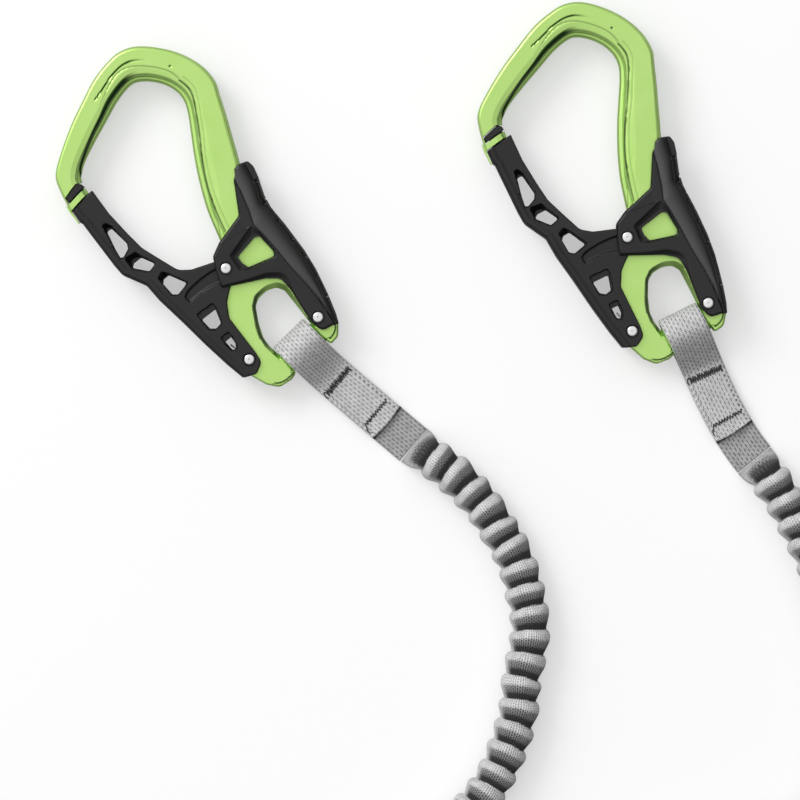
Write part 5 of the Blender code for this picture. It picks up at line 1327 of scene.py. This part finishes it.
cordura, tree, shader = new_material("textured_nylon_cordura", Roughness=0.85, IOR=1.53, Sheen_Weight=0.25)
where = add_node(tree, "ShaderNodeTexCoord").outputs["Object"]
axes = add_node(tree, "ShaderNodeSeparateXYZ", {0: where}).outputs
fuzz = add_node(tree, "ShaderNodeTexNoise", {"Vector": where, "Scale": 900.0, "Detail": 3.0}).outputs["Fac"]
known = {"x": axes[0], "y": axes[1], "fuzz": fuzz}
for result, operation, *terms in (
    ("warp", "MULTIPLY", "x", 2 * math.pi / WEAVE_PITCH),
    ("warp", "SINE", "warp"),
    ("weft", "MULTIPLY", "y", 2 * math.pi / WEAVE_PITCH),
    ("weft", "SINE", "weft"),
    ("check", "MULTIPLY", "warp", "weft"),
    ("check", "MULTIPLY", "check", 0.3),
    ("grain", "ADD", "check", "fuzz"),
):
    inputs = {i: known.get(term, term) for i, term in enumerate(terms)}
    known[result] = add_node(tree, "ShaderNodeMath", inputs, operation=operation).outputs[0]
tones = add_node(tree, "ShaderNodeMix",
                 {"Factor": known["grain"], "A": linear("#1E1E20"), "B": linear("#3A3A3D")}, data_type="RGBA")
tree.links.new(tones.outputs["Result"], shader.inputs["Base Color"])
weave_bump = add_node(tree, "ShaderNodeBump", {"Height": known["grain"], "Strength": 0.6, "Distance": 0.0004})
tree.links.new(weave_bump.outputs[0], shader.inputs["Normal"])
print("cloth:", cordura.name)


# %% Pouch
def pouch_rim(angle, inset):
    """Points of a rounded rectangle, a superellipse: x = a * |cos|^0.28, y = b * |sin|^0.28, signs kept."""
    wave = np.column_stack([np.cos(angle), np.sin(angle)])
    return POUCH_CENTRE + (POUCH_PLAN / 2 - inset) * np.sign(wave) * np.abs(wave) ** CORNER


def pouch_crown(q):
    """Share of a panel's height at share q of the way in from the seam."""
    return (1 - (1 - q) ** 3.2) ** 0.38


def pouch_panels(around=240, rings=36):
    """From the bottom's middle over the seam to the top's middle: rings shrink, heights crown.

    Height over the seam: 10 mm * crown(q), with folds of 0.3 mm that run in from the rim and fade
    towards the middle.
    """
    angle = np.linspace(0, 2 * np.pi, around, endpoint=False)
    q = (np.linspace(0, 1, rings) ** 1.6)[:, None]
    plan = POUCH_CENTRE + (pouch_rim(angle, PANEL_INSET) - POUCH_CENTRE) * (1 - q * SHRINK)[..., None]
    fade = np.sin(np.pi * np.clip(q * 1.25, 0, 1)) ** 2
    fold = fade * (np.sin(9 * angle + 1.3) + 0.7 * np.sin(17 * angle + 0.4) + 0.5 * np.sin(31 * angle))
    top = SEAM_HEIGHT + PANEL_RISE * pouch_crown(q) + 0.00032 * fold
    low = np.maximum(SEAM_HEIGHT - PANEL_DROP * pouch_crown(q) + 0.0002 * fold, 0.0002)
    upper, lower = (np.concatenate([plan, level[..., None]], axis=2) for level in (top, low))
    return np.concatenate([lower[::-1], upper[1:]])


pouch = dress(surface("pouch", pouch_panels()[::-1], cordura), "webbing", "pouch_fabric", "absorber_pouch")

angle = np.linspace(0, 2 * np.pi, 720, endpoint=False)
rim = np.column_stack([pouch_rim(angle, 0.0008), SEAM_HEIGHT + 0.00025 * np.sin(40 * angle)])
dress(tube("pouch_binding", spread(rim, 500), 0.0011, 10, cordura), "webbing", "pouch_fabric")

# The hem's stitches lie on the top panel: `out` is 1 on its rim, and the crown gives the height there.
fine = pouch_rim(np.linspace(0, 2 * np.pi, 2600), 0.0036)
hem = spread(fine, len(fine))
even = np.linspace(0, lengths_along(fine)[-1], len(fine))
out = np.abs(hem - POUCH_CENTRE) / (POUCH_PLAN / 2 - PANEL_INSET)
out = (out ** (2 / CORNER)).sum(axis=1) ** (CORNER / 2)
face = SEAM_HEIGHT + PANEL_RISE * pouch_crown((1 - out) / SHRINK)
hem = np.column_stack([hem, face + 0.0001 + 0.0003 * np.sin(2 * np.pi * even / HEM_STITCH)])
dress(tube("pouch_hem_stitches", hem, 0.00022, 5), "webbing", "thread")
print("pouch faces:", len(pouch.data.polygons))

# %% [markdown]
# ## Yoke, tie-in loop and tear webbing
# A doubled strap leaves the pouch's mouth and carries both arms. At the other end a 20 mm loop of tape
# leaves the pouch, is sewn with two bar tacks and opens into the eye for the harness. Inside lies the tear
# webbing, folded seven times. All are bands in the pouch's side view, as (x, z).

# %% Side bands
def side_band(name, profile, width, thickness, shade):
    """A band whose middle line lies in the pouch's side view, in metres from the pouch's centre."""
    profile = spread(np.array(profile, float), max(60, len(profile)))
    run = directions(profile)
    level = np.zeros(len(profile))
    centres = np.column_stack([profile[:, 0] + POUCH_CENTRE[0], level + POUCH_CENTRE[1], profile[:, 1]])
    sides = np.tile((0.0, 1.0, 0.0), (len(profile), 1))
    ups = np.column_stack([-run[:, 1], level, run[:, 0]])
    return band(name, centres, sides, ups, width, thickness, level + shade)


half_height = POUCH_HEIGHT / 2
yoke = side_band("yoke", [(0.0501, half_height), (0.0714, half_height)],
                 width=0.036, thickness=0.0040, shade=0.5)
dress(yoke, "webbing", "pouch_fabric", "arm_yoke")

FOLD_PITCH, FOLD_HALF, LAYERS = 0.0019, 0.046, 7
folds = []
for layer in range(LAYERS):
    z, sign = half_height + FOLD_PITCH * (layer - 3), (1, -1)[layer % 2]
    folds += [(-sign * FOLD_HALF, z), (sign * FOLD_HALF, z)]
    if layer < LAYERS - 1:
        a = np.linspace(0, np.pi, 9)[1:-1]
        folds += zip(sign * (FOLD_HALF + FOLD_PITCH / 2 * np.sin(a)), z + FOLD_PITCH / 2 * (1 - np.cos(a)))
tear = side_band("tear_folds", spread(np.array(folds), 700), width=0.031, thickness=0.0015, shade=0.2)
dress(tear, "webbing", "webbing", "tear_webbing")

LOOP_THICKNESS, LOOP_EYE = 0.0024, 0.0085
LOOP_SEWN, LOOP_SLACK, LOOP_REACH = 0.018, 0.0044, 0.052  # past the pouch: sewn flat, still flat, the whole
apart = LOOP_THICKNESS / 2 + 0.00015
pouch_end = POUCH_PLAN[0] / 2
neck, eye_centre = pouch_end + LOOP_SEWN + LOOP_SLACK, pouch_end + LOOP_REACH - LOOP_EYE
bend = LOOP_EYE + LOOP_THICKNESS / 2
t = np.linspace(0, 1, 24)
ramp = np.column_stack([-neck - (eye_centre - neck) * t,
                        half_height + apart + (bend - apart) * (1 - np.cos(np.pi * t)) / 2])
a = np.linspace(0, np.pi, 40)[1:-1]
arch = np.column_stack([-eye_centre - bend * np.sin(a), half_height + bend * np.cos(a)])
upper = np.vstack([[(-0.0501, half_height + apart)], ramp])
mirrored = np.column_stack([upper[::-1, 0], 2 * half_height - upper[::-1, 1]])
loop = side_band("tie_in", spread(np.vstack([upper, arch, mirrored]), 320),
                 width=0.020, thickness=LOOP_THICKNESS, shade=0.12)
dress(loop, "webbing", "webbing", "tie_in_loop")

loop_top = half_height + apart + LOOP_THICKNESS / 2
for name, x_place, width, top, depth, passes in (
    ("yoke_tack", 0.0655, 0.0288, half_height + 0.0020, 0.0030, 52),
    ("tie_in_tack_1", -0.068, 0.016, loop_top, 0.0022, 30),
    ("tie_in_tack_2", -0.078, 0.016, loop_top, 0.0022, 30),
):
    along, across, up = zigzag(passes, depth, width, top + THREAD_LIFT, passes)
    way = np.column_stack([POUCH_CENTRE[0] + x_place + along, POUCH_CENTRE[1] + across, up])
    dress(tube(name + "_thread", way, 0.00024), "webbing", "thread", name)
print("absorber dressed")
